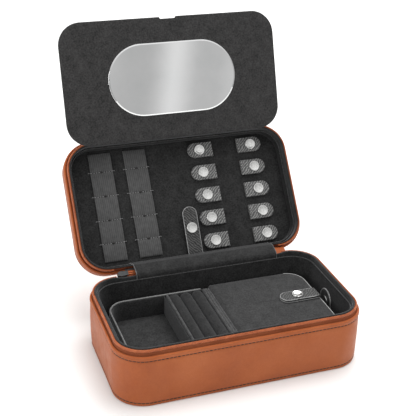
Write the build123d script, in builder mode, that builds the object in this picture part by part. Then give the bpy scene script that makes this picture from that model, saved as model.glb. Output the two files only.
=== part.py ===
"""Travel jewellery case: a leather box with a zipped lid, a mirror panel, necklace tabs and a lift-out tray.

Frame: millimetres, +Z up, +Y towards the hinge at the back, origin under the middle of the base.
The case stands open: the lid leans back on its fabric hinge and the mirror panel is swung up out of it.
"""

import os
from math import cos, radians, sin

from build123d import *

# Driving dimensions
CASE_WIDTH = 235.0
CASE_DEPTH = 132.8
CASE_CORNER = 29.0
BASE_HEIGHT = 56.6  # underside to the zip edge of the base
LID_HEIGHT = 21.5  # zip edge of the lid to its outer face
LID_OPEN = 126.66  # degrees from shut
LID_EDGE = (73.10, 57.94)  # Y and Z of the zip edge of the open lid, at the hinge

LEATHER = 1.5
SKIN = 1.3  # leather on the flat outer faces
BOARD = 2.0
PAD = 1.8
ROLLED_EDGE = 5.6  # from the zip edge down to the leather's rolled edge

ZIP_INSET = 2.2
TAPE_INSET = 3.5
LIP_INSET = 4.2
BASE_LIP_INNER = 6.4
LID_LIP_INNER = 5.4
LIP_BEAD_INSET = 3.0
LIP_RISE = 1.05
COIL_HEIGHT = 3.2
COIL_BACK = 3.8
COIL_GAP = 0.1  # from the top of the teeth to the zip edge
LINER = 1.6
BASE_LEDGE = 4.6  # from the zip edge down to the top of the inner liner
LID_LEDGE = 6.3
BASE_FOOT = -14.0  # foot of the lip and the zip tape, from the zip edge
LID_FOOT = -12.0
BOARD_TOP = -7.0
BOTTOM_INSET = 0.9
LEATHER_ROUND = 0.6
LID_ROUND = 1.0

HINGE_ZONE = 86.0  # half width of the stretch without zip at the back
LIP_DROP = 1.2  # the lips are lower there, under the flap
LIP_LOW = LIP_RISE - LIP_DROP
FLAP_LEFT = -67.0
FLAP_RIGHT = 78.5
FLAP = 0.7
FLAP_ON_LEDGE = 0.4  # pressed thin where the folded panel lies on it

SPINE_EDGE = (66.06, 52.58)  # Y and Z of the lower crease of the hinge
SPINE_WIDTH = 7.32  # from the lower crease to the upper one
SPINE_LEAN = 26.67  # degrees above level, lid open
SPINE_GAP = 0.4
HINGE_LEATHER = 0.8
HINGE_TAPE = 0.6
STRAND = (1.6, 1.1)  # width and height of one strand of the closed zip
STRAND_OFFSET = 1.0  # from the middle of the spine
HINGE_LEFT = -72.4
HINGE_LEATHER_RIGHT = 84.5
HINGE_ZIP_RIGHT = 78.0
FLAP_LIFT = 2.0  # the flap over the spine, above its crease line

SNAP_RADIUS = 5.0
SNAP_HEIGHT = 1.7
STUD_RADIUS = 1.8
STUD_GAP = 0.35  # between a stud and the strap layer over it
STRAP = 1.2
STRAP_LIFT = 0.9  # room for the stud between two strap layers
CREASE_GAP = 0.2  # from a strap's crease to the leather on either side

PANEL_WIDTH = 222.4
PANEL_DEPTH = 119.6
PANEL_CORNER = 22.6
PANEL = 3.0
PANEL_LEAN = 108.54  # degrees from level, mirror side towards the front
PANEL_EDGE = (141.81, 160.68)  # Y and Z of the lower edge of the swung-up panel
MIRROR_WIDTH = 131.6
MIRROR_HEIGHT = 70.9
MIRROR_UP = 59.5  # panel's lower edge to the mirror's middle
MIRROR = 1.0
NOTCH_WIDTH = 16.5
NOTCH_DEPTH = 1.8
NOTCH_CORNER = 1.2
PANEL_HINGE = (134.0, 0.8)  # width and thickness of the cloth that joins the panel to the lid
PANEL_HINGE_SPAN = (1.4, 3.35)  # above the lid's zip edge
PANEL_STUD_DOWN = 24.0  # from the panel's free edge

PANEL_STRAP_LENGTH = 47.6
PANEL_STRAP_WIDTH = 15.0
PANEL_STRAP_SNAP = 26.0
PANEL_STRAP_MIDDLE = 2.1
PANEL_STRAP_UP = 6.4  # from the lid's zip edge up to the strap's root
PANEL_STRAP_RISE = 3.0  # from the lid's floor to the strap's root
PANEL_STRAP_LEAN = 4.0  # degrees off the lid's floor

TAB_LENGTH = 23.7  # crease to the round end
TAB_WIDTH = 15.3
TAB_ROOT = 3.2
TAB_PITCH = 23.9
TAB_SNAP = 11.4  # crease to the snap
TAB_CREASES = (37.1, 70.7)
TAB_FIRST_ROW = -47.6

WEBBING_WIDTH = 23.0
WEBBING_LENGTH = 110.0
WEBBING = 1.1
WEBBING_PLACES = (-79.0, -43.0)

TRAY_WIDTH = 199.8
TRAY_DEPTH = 101.0
TRAY_CORNER = 18.0
TRAY_MIDDLE = -1.3
TRAY_FOOT = 5.4
TRAY_TOP = 36.0
TRAY_FLOOR = 16.0
TRAY_BOARD = 2.0
TRAY_WALL = 2.4
PIPING = 1.3
DIVIDER_RISE = 0.8  # above the tray's rim
DIVIDER_ROUND = 1.5
ROLL_RISE = 1.0
ROLL_GAP = 0.2
RIDGE_RADIUS = 1.6
RIDGE_INSET = 1.9  # from the bar's side to the middle of a ridge
DIVIDER = (-43.0, -39.4)
ROLLS = 3
BAR = (-4.2, 3.2)
TRAY_LID_EDGE = 4.2
TRAY_LID_GAP = 0.3
TRAY_LID = 2.2
TRAY_STRAP_ROOT = 95.4
TRAY_STRAP_LENGTH = 35.6
TRAY_STRAP_SNAP = 18.2
STRAP_LINE = 3.5  # Y of the two straps at the right

SIDE_STRAP_WIDTH = 22.0
SIDE_STRAP_LENGTH = 25.0
SIDE_STRAP_FOOT = 17.0
SIDE_STRAP_ROOT = 5.0
SIDE_STRAP_GAP = 0.4  # between the strap and the wall

SLIDER_MIDDLE = -78.5
SLIDER_LENGTH = 10.6
SLIDER_WIDTH = 6.4
SLIDER_PLATE = 1.1
SLIDER_POST = ((-4.4, -2.4), (-0.8, 0.8))
BAIL_DROP = 4.1
BAIL_WIRE = 0.6
BAIL_SPAN = 5.2
PULL_LENGTH = 18.0
PULL_WIDTH = 4.2
PULL = 1.4
PULL_EYE = (1.5, 0.9)  # outer and inner radius


def hinged_plane(edge, degrees, half_depth):
    """The plane of a leaf that stands degrees open from an edge, with its origin at the leaf's middle."""
    up = (0, -cos(radians(degrees)), sin(radians(degrees)))
    inward = (0, -sin(radians(degrees)), -cos(radians(degrees)))
    origin = (0, edge[0] + half_depth * up[1], edge[1] + half_depth * up[2])
    return Plane(origin=origin, x_dir=(1, 0, 0), z_dir=inward)


ZIP_HALF_DEPTH = CASE_DEPTH / 2 - ZIP_INSET
BASE_RIM = Plane.XY.offset(BASE_HEIGHT)
LID_RIM = hinged_plane(LID_EDGE, LID_OPEN, ZIP_HALF_DEPTH)
PANEL_FACE = hinged_plane(PANEL_EDGE, PANEL_LEAN, PANEL_DEPTH / 2)
SPINE = hinged_plane(SPINE_EDGE, 180 - SPINE_LEAN, 0)
TRAY_PLANE = Plane(origin=(TRAY_MIDDLE, 0, 0))
BASE_FLOOR = SKIN + BOARD + PAD - BASE_HEIGHT
LID_FLOOR = SKIN + BOARD + PAD - LID_HEIGHT
ALL = 400.0  # larger than the case, for trimming


def slab(plane, inset, low, high, mode=Mode.ADD):
    """A plate with the case's outline, drawn in by inset."""
    with BuildSketch(plane.offset(low)) as flat:
        RectangleRounded(CASE_WIDTH - 2 * inset, CASE_DEPTH - 2 * inset, CASE_CORNER - inset)
    extrude(flat.sketch, amount=high - low, mode=mode)


def ring(plane, outer, inner, low, high):
    """A wall that follows the case's outline."""
    slab(plane, outer, low, high)
    slab(plane, inner, low, high, Mode.SUBTRACT)


def block(plane, x_range, y_range, z_range, mode=Mode.ADD):
    """A box between three ranges in the plane's own directions."""
    middle = (sum(x_range) / 2, sum(y_range) / 2)
    with BuildSketch(plane.offset(z_range[0])) as flat:
        with Locations(middle):
            Rectangle(x_range[1] - x_range[0], y_range[1] - y_range[0])
    extrude(flat.sketch, amount=z_range[1] - z_range[0], mode=mode)


def side_plane(plane, x):
    """The plane across the case at x, with its first axis along the leaf and its second out of it."""
    return Plane(origin=plane.from_local_coords((x, 0, 0)), x_dir=plane.y_dir, z_dir=plane.x_dir)


def strip(plane, x_range, points):
    """A closed outline in the plane across the case, drawn out from one x to another."""
    with BuildSketch(side_plane(plane, x_range[0])) as outline:
        with BuildLine():
            Polyline(*points, close=True)
        make_face()
    extrude(outline.sketch, amount=x_range[1] - x_range[0])


def strap_plane(plane, place, heading):
    """A strap's own plane: the origin at its crease, the first axis towards its round end."""
    return Plane(origin=plane.from_local_coords(place), x_dir=heading, z_dir=plane.z_dir)


def tongue(plane, start, length, width, low, high):
    """A flat strap from start to a round end at length."""
    with BuildSketch(plane.offset(low)) as flat:
        straight = length - width / 2
        with Locations(((start + straight) / 2, 0)):
            Rectangle(straight - start, width)
        with Locations((straight, 0)):
            Circle(width / 2)
    extrude(flat.sketch, amount=high - low)


def disc(plane, place, radius, low, high, mode=Mode.ADD):
    """A round plate at a place along a strap."""
    with BuildSketch(plane.offset(low)) as flat:
        with Locations((place, 0)):
            Circle(radius)
    extrude(flat.sketch, amount=high - low, mode=mode)


def snap_cap(plane, place, low):
    """A domed snap cap: a wide skirt under a smaller crown."""
    disc(plane, place, SNAP_RADIUS, low, low + 0.6 * SNAP_HEIGHT)
    disc(plane, place, 0.8 * SNAP_RADIUS, low + 0.6 * SNAP_HEIGHT, low + SNAP_HEIGHT)


def strap_base(plane, length, width, snap):
    """The sewn-down layer of a snap strap, with its root block and its stud."""
    root = CREASE_GAP - TAB_ROOT
    tongue(plane, root, length, width, 0, STRAP)
    block(plane, (root, -CREASE_GAP), (-width / 2, width / 2), (STRAP, 2 * STRAP + STRAP_LIFT))
    disc(plane, snap, STUD_RADIUS, STRAP, STRAP + STRAP_LIFT - STUD_GAP)


def strap_top(plane, length, width, snap):
    """The layer that lifts, with its cap."""
    low = STRAP + STRAP_LIFT
    tongue(plane, CREASE_GAP, length, width, low, low + STRAP)
    snap_cap(plane, snap, low + STRAP)


def case_board(plane, height):
    """The stiff box inside the leather: a floor and a wall up to just under the rolled edge."""
    slab(plane, LEATHER, SKIN - height, BOARD_TOP)
    slab(plane, LEATHER + BOARD, SKIN + BOARD - height, BOARD_TOP, Mode.SUBTRACT)


def case_lip(plane, inner, foot):
    """The padded wall inside the zip, with an outward bead, lowered along the hinge."""
    hinge_side = (0, CASE_DEPTH) if plane is BASE_RIM else (-CASE_DEPTH, 0)
    slab(plane, LIP_INSET, foot, 0)
    slab(plane, LIP_BEAD_INSET, 0, LIP_RISE)
    slab(plane, inner, foot, LIP_RISE, Mode.SUBTRACT)
    block(plane, (-HINGE_ZONE, HINGE_ZONE), hinge_side, (LIP_LOW, LIP_RISE), Mode.SUBTRACT)


def case_liner(plane, inner, floor, foot, ledge):
    """The padded inner wall: thick below the foot of the lip, thin beside it."""
    ring(plane, TAPE_INSET, inner + LINER, floor, foot)
    ring(plane, inner, inner + LINER, foot, -ledge)


def zip_coil(plane):
    """One row of zip teeth, open along the hinge."""
    hinge_side = (0, CASE_DEPTH) if plane is BASE_RIM else (-CASE_DEPTH, 0)
    ring(plane, ZIP_INSET, COIL_BACK, -COIL_HEIGHT, -COIL_GAP)
    block(plane, (-HINGE_ZONE, HINGE_ZONE), hinge_side, (-COIL_HEIGHT, 0), Mode.SUBTRACT)


os.makedirs("parts", exist_ok=True)

# Base: leather skin, board, zip, lip and lining
with BuildPart() as base_bottom_leather:
    slab(BASE_RIM, BOTTOM_INSET, -BASE_HEIGHT, SKIN - BASE_HEIGHT)
with BuildPart() as base_side_leather:
    ring(BASE_RIM, 0, LEATHER, SKIN - BASE_HEIGHT, -ROLLED_EDGE)
    fillet(base_side_leather.faces().sort_by(Axis.Z)[-1].edges(), LEATHER_ROUND)
with BuildPart() as base_board:
    case_board(BASE_RIM, BASE_HEIGHT)
with BuildPart() as base_floor_pad:
    slab(BASE_RIM, TAPE_INSET, BASE_FLOOR - PAD, BASE_FLOOR)
with BuildPart() as base_zip_tape:
    ring(BASE_RIM, TAPE_INSET, LIP_INSET, BASE_FOOT, -COIL_HEIGHT)
with BuildPart() as base_zip_coil:
    zip_coil(BASE_RIM)
with BuildPart() as base_lip:
    case_lip(BASE_RIM, BASE_LIP_INNER, BASE_FOOT)
with BuildPart() as base_liner:
    case_liner(BASE_RIM, BASE_LIP_INNER, BASE_FLOOR, BASE_FOOT, BASE_LEDGE)

# Lid: the same layers, shallower
with BuildPart() as lid_top_leather:
    slab(LID_RIM, 0, -LID_HEIGHT, SKIN - LID_HEIGHT)
    outer_face = lid_top_leather.faces().sort_by(Axis(LID_RIM.origin, LID_RIM.z_dir))[0]
    fillet(outer_face.edges(), LID_ROUND)
with BuildPart() as lid_side_leather:
    ring(LID_RIM, 0, LEATHER, SKIN - LID_HEIGHT, -ROLLED_EDGE)
    rolled_face = lid_side_leather.faces().sort_by(Axis(LID_RIM.origin, LID_RIM.z_dir))[-1]
    fillet(rolled_face.edges(), LEATHER_ROUND)
with BuildPart() as lid_board:
    case_board(LID_RIM, LID_HEIGHT)
with BuildPart() as lid_floor_pad:
    slab(LID_RIM, TAPE_INSET, LID_FLOOR - PAD, LID_FLOOR)
with BuildPart() as lid_zip_tape:
    ring(LID_RIM, TAPE_INSET, LIP_INSET, LID_FOOT, -COIL_HEIGHT)
with BuildPart() as lid_zip_coil:
    zip_coil(LID_RIM)
with BuildPart() as lid_lip:
    case_lip(LID_RIM, LID_LIP_INNER, LID_FOOT)
with BuildPart() as lid_liner:
    case_liner(LID_RIM, LID_LIP_INNER, LID_FLOOR, LID_FOOT, LID_LEDGE)

# Velvet flap over the hinge: over the base's lip, across the creases, down inside the lid
FLAP_RANGE = (FLAP_LEFT, FLAP_RIGHT)
with BuildPart() as base_flap:
    outer = CASE_DEPTH / 2 - LIP_INSET
    inner = CASE_DEPTH / 2 - BASE_LIP_INNER
    strip(
        BASE_RIM,
        FLAP_RANGE,
        [
            (outer, LIP_LOW),
            (inner, LIP_LOW),
            (inner, -BASE_LEDGE),
            (inner - FLAP, -BASE_LEDGE),
            (inner - FLAP, LIP_LOW + FLAP),
            (outer, LIP_LOW + FLAP),
        ],
    )
with BuildPart() as lid_flap:
    outer = LIP_INSET - CASE_DEPTH / 2
    inner = LID_LIP_INNER - CASE_DEPTH / 2
    strip(
        LID_RIM,
        FLAP_RANGE,
        [
            (outer, LIP_LOW),
            (inner, LIP_LOW),
            (inner, -LID_LEDGE),
            (inner + LINER, -LID_LEDGE),
            (inner + LINER, LID_FLOOR),
            (inner + LINER + FLAP, LID_FLOOR),
            (inner + LINER + FLAP, FLAP_ON_LEDGE - LID_LEDGE),
            (inner + FLAP, FLAP_ON_LEDGE - LID_LEDGE),
            (inner + FLAP, LIP_LOW + FLAP),
            (outer, LIP_LOW + FLAP),
        ],
    )

# Hinge spine: a leather strip outside, the zip's closed stretch on it, the flap over that
SPINE_SPAN = (SPINE_GAP, SPINE_WIDTH - SPINE_GAP)
with BuildPart() as hinge_leather:
    block(SPINE, (HINGE_LEFT, HINGE_LEATHER_RIGHT), SPINE_SPAN, (-HINGE_LEATHER, 0))
with BuildPart() as hinge_zip:
    zip_range = (HINGE_LEFT, HINGE_ZIP_RIGHT)
    block(SPINE, zip_range, SPINE_SPAN, (0, HINGE_TAPE))
    for offset in (-STRAND_OFFSET, STRAND_OFFSET):
        low_side = SPINE_WIDTH / 2 + offset - STRAND[0] / 2
        strand_heights = (HINGE_TAPE, HINGE_TAPE + STRAND[1])
        block(SPINE, zip_range, (low_side, low_side + STRAND[0]), strand_heights)
with BuildPart() as hinge_flap:
    block(SPINE, FLAP_RANGE, SPINE_SPAN, (FLAP_LIFT, FLAP_LIFT + FLAP))

# Zip slider: two plates joined by a post, with a bail for the pull
SLIDER_PLANE = Plane(
    origin=SPINE.from_local_coords((SLIDER_MIDDLE, SPINE_WIDTH / 2, 0)), x_dir=SPINE.x_dir, z_dir=SPINE.z_dir
)
with BuildPart() as zip_slider:
    nose = -SLIDER_LENGTH / 2
    tail = SLIDER_LENGTH / 2
    for low in (-2 * SLIDER_PLATE, SLIDER_PLATE):
        with BuildSketch(SLIDER_PLANE.offset(low)):
            with BuildLine():
                Polyline(
                    (nose, -SLIDER_WIDTH / 4),
                    (nose / 2, -SLIDER_WIDTH / 2),
                    (tail, -SLIDER_WIDTH * 3 / 8),
                    (tail, SLIDER_WIDTH * 3 / 8),
                    (nose / 2, SLIDER_WIDTH / 2),
                    (nose, SLIDER_WIDTH / 4),
                    close=True,
                )
            make_face()
        extrude(amount=SLIDER_PLATE)
    block(SLIDER_PLANE, *SLIDER_POST, (-SLIDER_PLATE, SLIDER_PLATE))
    leg_heights = (-BAIL_DROP - BAIL_WIRE, -2 * SLIDER_PLATE)
    for side in (-1, 1):
        leg_sides = sorted((side * BAIL_SPAN / 2, side * (BAIL_SPAN / 2 + BAIL_WIRE)))
        block(SLIDER_PLANE, (-BAIL_WIRE, BAIL_WIRE), leg_sides, leg_heights)
    bail_end = SLIDER_PLANE.from_local_coords((0, -BAIL_SPAN / 2, -BAIL_DROP))
    with BuildSketch(Plane(origin=bail_end, z_dir=SPINE.y_dir)):
        Circle(BAIL_WIRE)
    extrude(amount=BAIL_SPAN)
with BuildPart() as zip_pull:
    eye_end = SLIDER_PLANE.from_local_coords((0, -PULL_WIDTH / 2, -BAIL_DROP))
    with BuildSketch(Plane(origin=eye_end, x_dir=SPINE.x_dir, z_dir=SPINE.y_dir)):
        Circle(PULL_EYE[0])
        with Locations((0, PULL_LENGTH / 2)):
            Rectangle(PULL, PULL_LENGTH)
        Circle(PULL_EYE[1], mode=Mode.SUBTRACT)
    extrude(amount=PULL_WIDTH)

# Lid furniture: earring webbing and the sewn-down layers of the necklace tabs
webbings = []
for place in WEBBING_PLACES:
    with BuildPart() as webbing:
        half = WEBBING_LENGTH / 2
        across = (place - WEBBING_WIDTH / 2, place + WEBBING_WIDTH / 2)
        block(LID_RIM, across, (1 - half, 1 + half), (LID_FLOOR, LID_FLOOR + WEBBING))
    webbings.append(webbing)

LEFTWARD = LID_RIM.x_dir * -1
RIGHTWARD = LID_RIM.x_dir
tab_planes = []
for crease, heading in zip(TAB_CREASES, (LEFTWARD, RIGHTWARD)):
    for row in range(5):
        up = TAB_FIRST_ROW + row * TAB_PITCH
        tab_planes.append(strap_plane(LID_RIM, (crease, up, LID_FLOOR), heading))

with BuildPart() as tab_bases:
    for plane in tab_planes:
        strap_base(plane, TAB_LENGTH, TAB_WIDTH, TAB_SNAP)
tabs = []
for plane in tab_planes:
    with BuildPart() as tab:
        strap_top(plane, TAB_LENGTH, TAB_WIDTH, TAB_SNAP)
    tabs.append(tab)

# Strap that holds the folded mirror panel: rooted under the flap, lying just clear of the lid's floor
strap_lean = radians(PANEL_STRAP_LEAN)
PANEL_STRAP_PLANE = Plane(
    origin=LID_RIM.from_local_coords(
        (PANEL_STRAP_MIDDLE, PANEL_STRAP_UP - ZIP_HALF_DEPTH, LID_FLOOR + PANEL_STRAP_RISE)
    ),
    x_dir=LID_RIM.y_dir * cos(strap_lean) + LID_RIM.z_dir * sin(strap_lean),
    z_dir=LID_RIM.z_dir * cos(strap_lean) - LID_RIM.y_dir * sin(strap_lean),
)
with BuildPart() as panel_strap:
    tongue(PANEL_STRAP_PLANE, CREASE_GAP, PANEL_STRAP_LENGTH, PANEL_STRAP_WIDTH, 0, STRAP)
with BuildPart() as panel_strap_snap:
    snap_cap(PANEL_STRAP_PLANE, PANEL_STRAP_SNAP, STRAP)

# Mirror panel
panel_low = -PANEL_DEPTH / 2
with BuildPart() as panel_board:
    with BuildSketch(PANEL_FACE.offset(-PANEL)):
        RectangleRounded(PANEL_WIDTH, PANEL_DEPTH, PANEL_CORNER)
        with Locations((0, PANEL_DEPTH / 2)):
            RectangleRounded(NOTCH_WIDTH, 2 * NOTCH_DEPTH, NOTCH_CORNER, mode=Mode.SUBTRACT)
    extrude(amount=PANEL)
with BuildPart() as panel_mirror:
    with BuildSketch(PANEL_FACE):
        with Locations((0, panel_low + MIRROR_UP)):
            SlotOverall(MIRROR_WIDTH, MIRROR_HEIGHT)
    extrude(amount=MIRROR)
with BuildPart() as panel_hinge:
    lip_face = CASE_DEPTH / 2 - LID_LIP_INNER
    half_hinge = PANEL_HINGE[0] / 2
    block(LID_RIM, (-half_hinge, half_hinge), (lip_face - PANEL_HINGE[1], lip_face), PANEL_HINGE_SPAN)
with BuildPart() as panel_stud:
    stud_place = (PANEL_STRAP_MIDDLE, PANEL_DEPTH / 2 - PANEL_STUD_DOWN, -PANEL)
    back = Plane(
        origin=PANEL_FACE.from_local_coords(stud_place),
        x_dir=PANEL_FACE.x_dir,
        z_dir=PANEL_FACE.z_dir * -1,
    )
    disc(back, 0, SNAP_RADIUS, 0, SNAP_HEIGHT * 0.4)
    disc(back, 0, STUD_RADIUS, SNAP_HEIGHT * 0.4, SNAP_HEIGHT)


def tray_outline(inset, low, high, mode=Mode.ADD):
    """A plate with the tray's outline, drawn in by inset."""
    with BuildSketch(TRAY_PLANE.offset(low)) as flat:
        RectangleRounded(TRAY_WIDTH - 2 * inset, TRAY_DEPTH - 2 * inset, TRAY_CORNER - inset)
    extrude(flat.sketch, amount=high - low, mode=mode)


# Lift-out tray
INNER_HALF = TRAY_DEPTH / 2 - TRAY_WALL
ALONG = (-INNER_HALF, INNER_HALF)
PLAIN = Plane.XY
with BuildPart() as tray_shell:
    tray_outline(0, TRAY_FOOT, TRAY_TOP)
    tray_outline(TRAY_WALL, TRAY_FLOOR, TRAY_TOP, Mode.SUBTRACT)
    tray_outline(TRAY_WALL, TRAY_FOOT, TRAY_FLOOR - TRAY_BOARD, Mode.SUBTRACT)
with BuildPart() as tray_piping:
    tray_outline(0, TRAY_TOP, TRAY_TOP + PIPING)
    tray_outline(TRAY_WALL, TRAY_TOP, TRAY_TOP + PIPING, Mode.SUBTRACT)
    block(PLAIN, (BAR[0], ALL), (-ALL, ALL), (TRAY_TOP, TRAY_TOP + PIPING), Mode.SUBTRACT)
with BuildPart() as tray_divider:
    block(PLAIN, DIVIDER, ALONG, (TRAY_FLOOR, TRAY_TOP + DIVIDER_RISE))
    fillet(tray_divider.faces().sort_by(Axis.Z)[-1].edges().filter_by(Axis.Y), DIVIDER_ROUND)

ROLL_PITCH = (BAR[0] - DIVIDER[1]) / ROLLS
ROLL_RADIUS = ROLL_PITCH / 2 - ROLL_GAP
ROLL_MIDDLE = TRAY_TOP + ROLL_RISE - ROLL_RADIUS
rolls = []
for number in range(ROLLS):
    with BuildPart() as roll:
        middle = DIVIDER[1] + (number + 0.5) * ROLL_PITCH
        with BuildSketch(Plane(origin=(middle, -INNER_HALF, 0), x_dir=(1, 0, 0), z_dir=(0, 1, 0))):
            with Locations((0, -ROLL_MIDDLE)):
                Circle(ROLL_RADIUS)
            with Locations((0, -(ROLL_MIDDLE + TRAY_FLOOR) / 2)):
                Rectangle(2 * ROLL_RADIUS, ROLL_MIDDLE - TRAY_FLOOR)
        extrude(amount=2 * INNER_HALF)
    rolls.append(roll)

with BuildPart() as tray_bar:
    block(PLAIN, BAR, ALONG, (TRAY_FLOOR, TRAY_TOP))
    for ridge in (BAR[0] + RIDGE_INSET, BAR[1] - RIDGE_INSET):
        with BuildSketch(Plane(origin=(ridge, -INNER_HALF, TRAY_TOP), x_dir=(1, 0, 0), z_dir=(0, 1, 0))):
            Circle(RIDGE_RADIUS)
        extrude(amount=2 * INNER_HALF)

# Tray's hinged lid and its strap
TRAY_LID_TOP = TRAY_TOP + TRAY_LID_GAP + TRAY_LID
TRAY_STRAP_PLANE = Plane(origin=(TRAY_STRAP_ROOT, STRAP_LINE, TRAY_LID_TOP), x_dir=(-1, 0, 0))
with BuildPart() as tray_lid:
    tray_outline(0, TRAY_LID_TOP - TRAY_LID, TRAY_LID_TOP)
    cut_range = (TRAY_LID_TOP - TRAY_LID, TRAY_LID_TOP)
    block(PLAIN, (-ALL, TRAY_LID_EDGE), (-ALL, ALL), cut_range, Mode.SUBTRACT)
with BuildPart() as tray_strap_base:
    strap_base(TRAY_STRAP_PLANE, TRAY_STRAP_LENGTH, TAB_WIDTH, TRAY_STRAP_SNAP)
with BuildPart() as tray_strap:
    low = STRAP + STRAP_LIFT
    tongue(TRAY_STRAP_PLANE, CREASE_GAP, TRAY_STRAP_LENGTH, TAB_WIDTH, low, low + STRAP)
with BuildPart() as tray_strap_snap:
    snap_cap(TRAY_STRAP_PLANE, TRAY_STRAP_SNAP, 2 * STRAP + STRAP_LIFT)

# Standing strap on the base's right wall
WALL_FACE = CASE_WIDTH / 2 - BASE_LIP_INNER - LINER
SIDE_PLANE = Plane(origin=(WALL_FACE, STRAP_LINE, SIDE_STRAP_FOOT), x_dir=(0, 0, 1), z_dir=(-1, 0, 0))
half_side = SIDE_STRAP_WIDTH / 2
SIDE_STRAP_TOP = STRAP + SIDE_STRAP_GAP
with BuildPart() as side_strap_root:
    block(SIDE_PLANE, (-SIDE_STRAP_ROOT, -CREASE_GAP), (-half_side, half_side), (0, SIDE_STRAP_TOP))
with BuildPart() as side_strap:
    tongue(SIDE_PLANE, CREASE_GAP, SIDE_STRAP_LENGTH, SIDE_STRAP_WIDTH, SIDE_STRAP_GAP, SIDE_STRAP_TOP)
with BuildPart() as side_strap_snap:
    snap_cap(SIDE_PLANE, SIDE_STRAP_LENGTH / 2, SIDE_STRAP_TOP)

pieces = {
    "base_bottom_leather": base_bottom_leather,
    "base_side_leather": base_side_leather,
    "base_board": base_board,
    "base_floor_pad": base_floor_pad,
    "base_zip_tape": base_zip_tape,
    "base_zip_coil": base_zip_coil,
    "base_lip": base_lip,
    "base_liner": base_liner,
    "base_flap": base_flap,
    "side_strap_root": side_strap_root,
    "hinge_leather": hinge_leather,
    "hinge_zip": hinge_zip,
    "hinge_flap": hinge_flap,
    "zip_slider": zip_slider,
    "zip_pull": zip_pull,
    "lid_top_leather": lid_top_leather,
    "lid_side_leather": lid_side_leather,
    "lid_board": lid_board,
    "lid_floor_pad": lid_floor_pad,
    "lid_zip_tape": lid_zip_tape,
    "lid_zip_coil": lid_zip_coil,
    "lid_lip": lid_lip,
    "lid_liner": lid_liner,
    "lid_flap": lid_flap,
    "tab_bases": tab_bases,
    "panel_strap": panel_strap,
    "panel_strap_snap": panel_strap_snap,
    "panel_board": panel_board,
    "panel_mirror": panel_mirror,
    "panel_hinge": panel_hinge,
    "panel_stud": panel_stud,
    "tray_shell": tray_shell,
    "tray_piping": tray_piping,
    "tray_divider": tray_divider,
    "tray_bar": tray_bar,
    "tray_lid": tray_lid,
    "tray_strap_base": tray_strap_base,
    "tray_strap": tray_strap,
    "tray_strap_snap": tray_strap_snap,
    "side_strap": side_strap,
    "side_strap_snap": side_strap_snap,
}
repeated = {"earring_webbing": webbings, "necklace_tab": tabs, "ring_roll": rolls}
for family, members in repeated.items():
    for number, member in enumerate(members, start=1):
        pieces[f"{family}_{number}"] = member

for name, piece in pieces.items():
    piece.part.label = name
    export_step(piece.part, f"parts/{name}.step")
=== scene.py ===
"""Looks of the travel jewellery case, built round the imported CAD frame.

Lengths are millimetres, and become metres when a mesh is made. A leaf is a local frame as a matrix. On the
case its x runs to the right, its z out of the rim, and its y towards the hinge in the base and away from it
in the lid. Insets run in from the outline.
"""

import math
import random

import bmesh
import bpy
from mathutils import Matrix, Vector, noise


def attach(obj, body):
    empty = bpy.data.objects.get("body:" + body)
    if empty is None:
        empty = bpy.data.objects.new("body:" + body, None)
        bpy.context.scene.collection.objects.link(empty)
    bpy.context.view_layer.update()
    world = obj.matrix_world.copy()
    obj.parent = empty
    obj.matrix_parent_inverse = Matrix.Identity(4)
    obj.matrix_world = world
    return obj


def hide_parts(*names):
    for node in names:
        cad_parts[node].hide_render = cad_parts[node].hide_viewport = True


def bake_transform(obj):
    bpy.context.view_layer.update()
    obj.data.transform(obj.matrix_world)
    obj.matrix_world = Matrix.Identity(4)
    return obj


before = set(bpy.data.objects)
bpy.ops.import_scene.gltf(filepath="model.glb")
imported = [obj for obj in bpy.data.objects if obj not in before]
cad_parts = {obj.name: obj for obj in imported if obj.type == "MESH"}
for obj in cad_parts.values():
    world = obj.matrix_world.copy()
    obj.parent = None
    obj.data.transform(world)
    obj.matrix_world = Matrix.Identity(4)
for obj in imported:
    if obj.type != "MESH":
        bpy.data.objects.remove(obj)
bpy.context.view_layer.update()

WIDTH, DEPTH, CORNER = 235.0, 132.8, 29.0
HALF_WIDTH, HALF_DEPTH = WIDTH / 2, DEPTH / 2
ZIP_HALF_DEPTH = 64.2
BASE_HEIGHT, LID_HEIGHT = 56.6, 21.5
BASE_FLOOR, LID_FLOOR = -51.5, -16.4
SPINE_WIDTH = 7.32
HINGE_ZONE = 86.0
FLAP_RANGE = (-67.0, 78.5)
SKIN_RANGE = (-74.8, 92.5)
SKIN_LINING_RANGE = (-74.8, 81.5)
ZIP_RANGE = (-74.8, 78.0)
PANEL_WIDTH, PANEL_DEPTH, PANEL_CORNER = 222.4, 119.6, 22.6
PANEL_HINGE_HALF = 67.0


# Frames


def leaf_matrix(origin, x_dir, y_dir, z_dir):
    """A frame from its origin and its three directions."""
    rows = Matrix((x_dir, y_dir, z_dir)).transposed().to_4x4()
    return Matrix.Translation(origin) @ rows


def hinged(edge, degrees, half_depth):
    """The frame of a leaf that stands degrees open from an edge, with its origin half_depth up from it."""
    angle = math.radians(degrees)
    up = Vector((0, -math.cos(angle), math.sin(angle)))
    inward = Vector((0, -math.sin(angle), -math.cos(angle)))
    origin = Vector((0, edge[0], edge[1])) + up * half_depth
    return leaf_matrix(origin, Vector((1, 0, 0)), up, inward)


def strap_matrix(leaf, place, heading, outward=(0, 0, 1)):
    """A strap's frame on a leaf: x towards its round end, z away from what it lies on."""
    x_dir = (leaf.to_3x3() @ Vector(heading)).normalized()
    z_dir = (leaf.to_3x3() @ Vector(outward)).normalized()
    return leaf_matrix(leaf @ Vector(place), x_dir, z_dir.cross(x_dir), z_dir)


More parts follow.
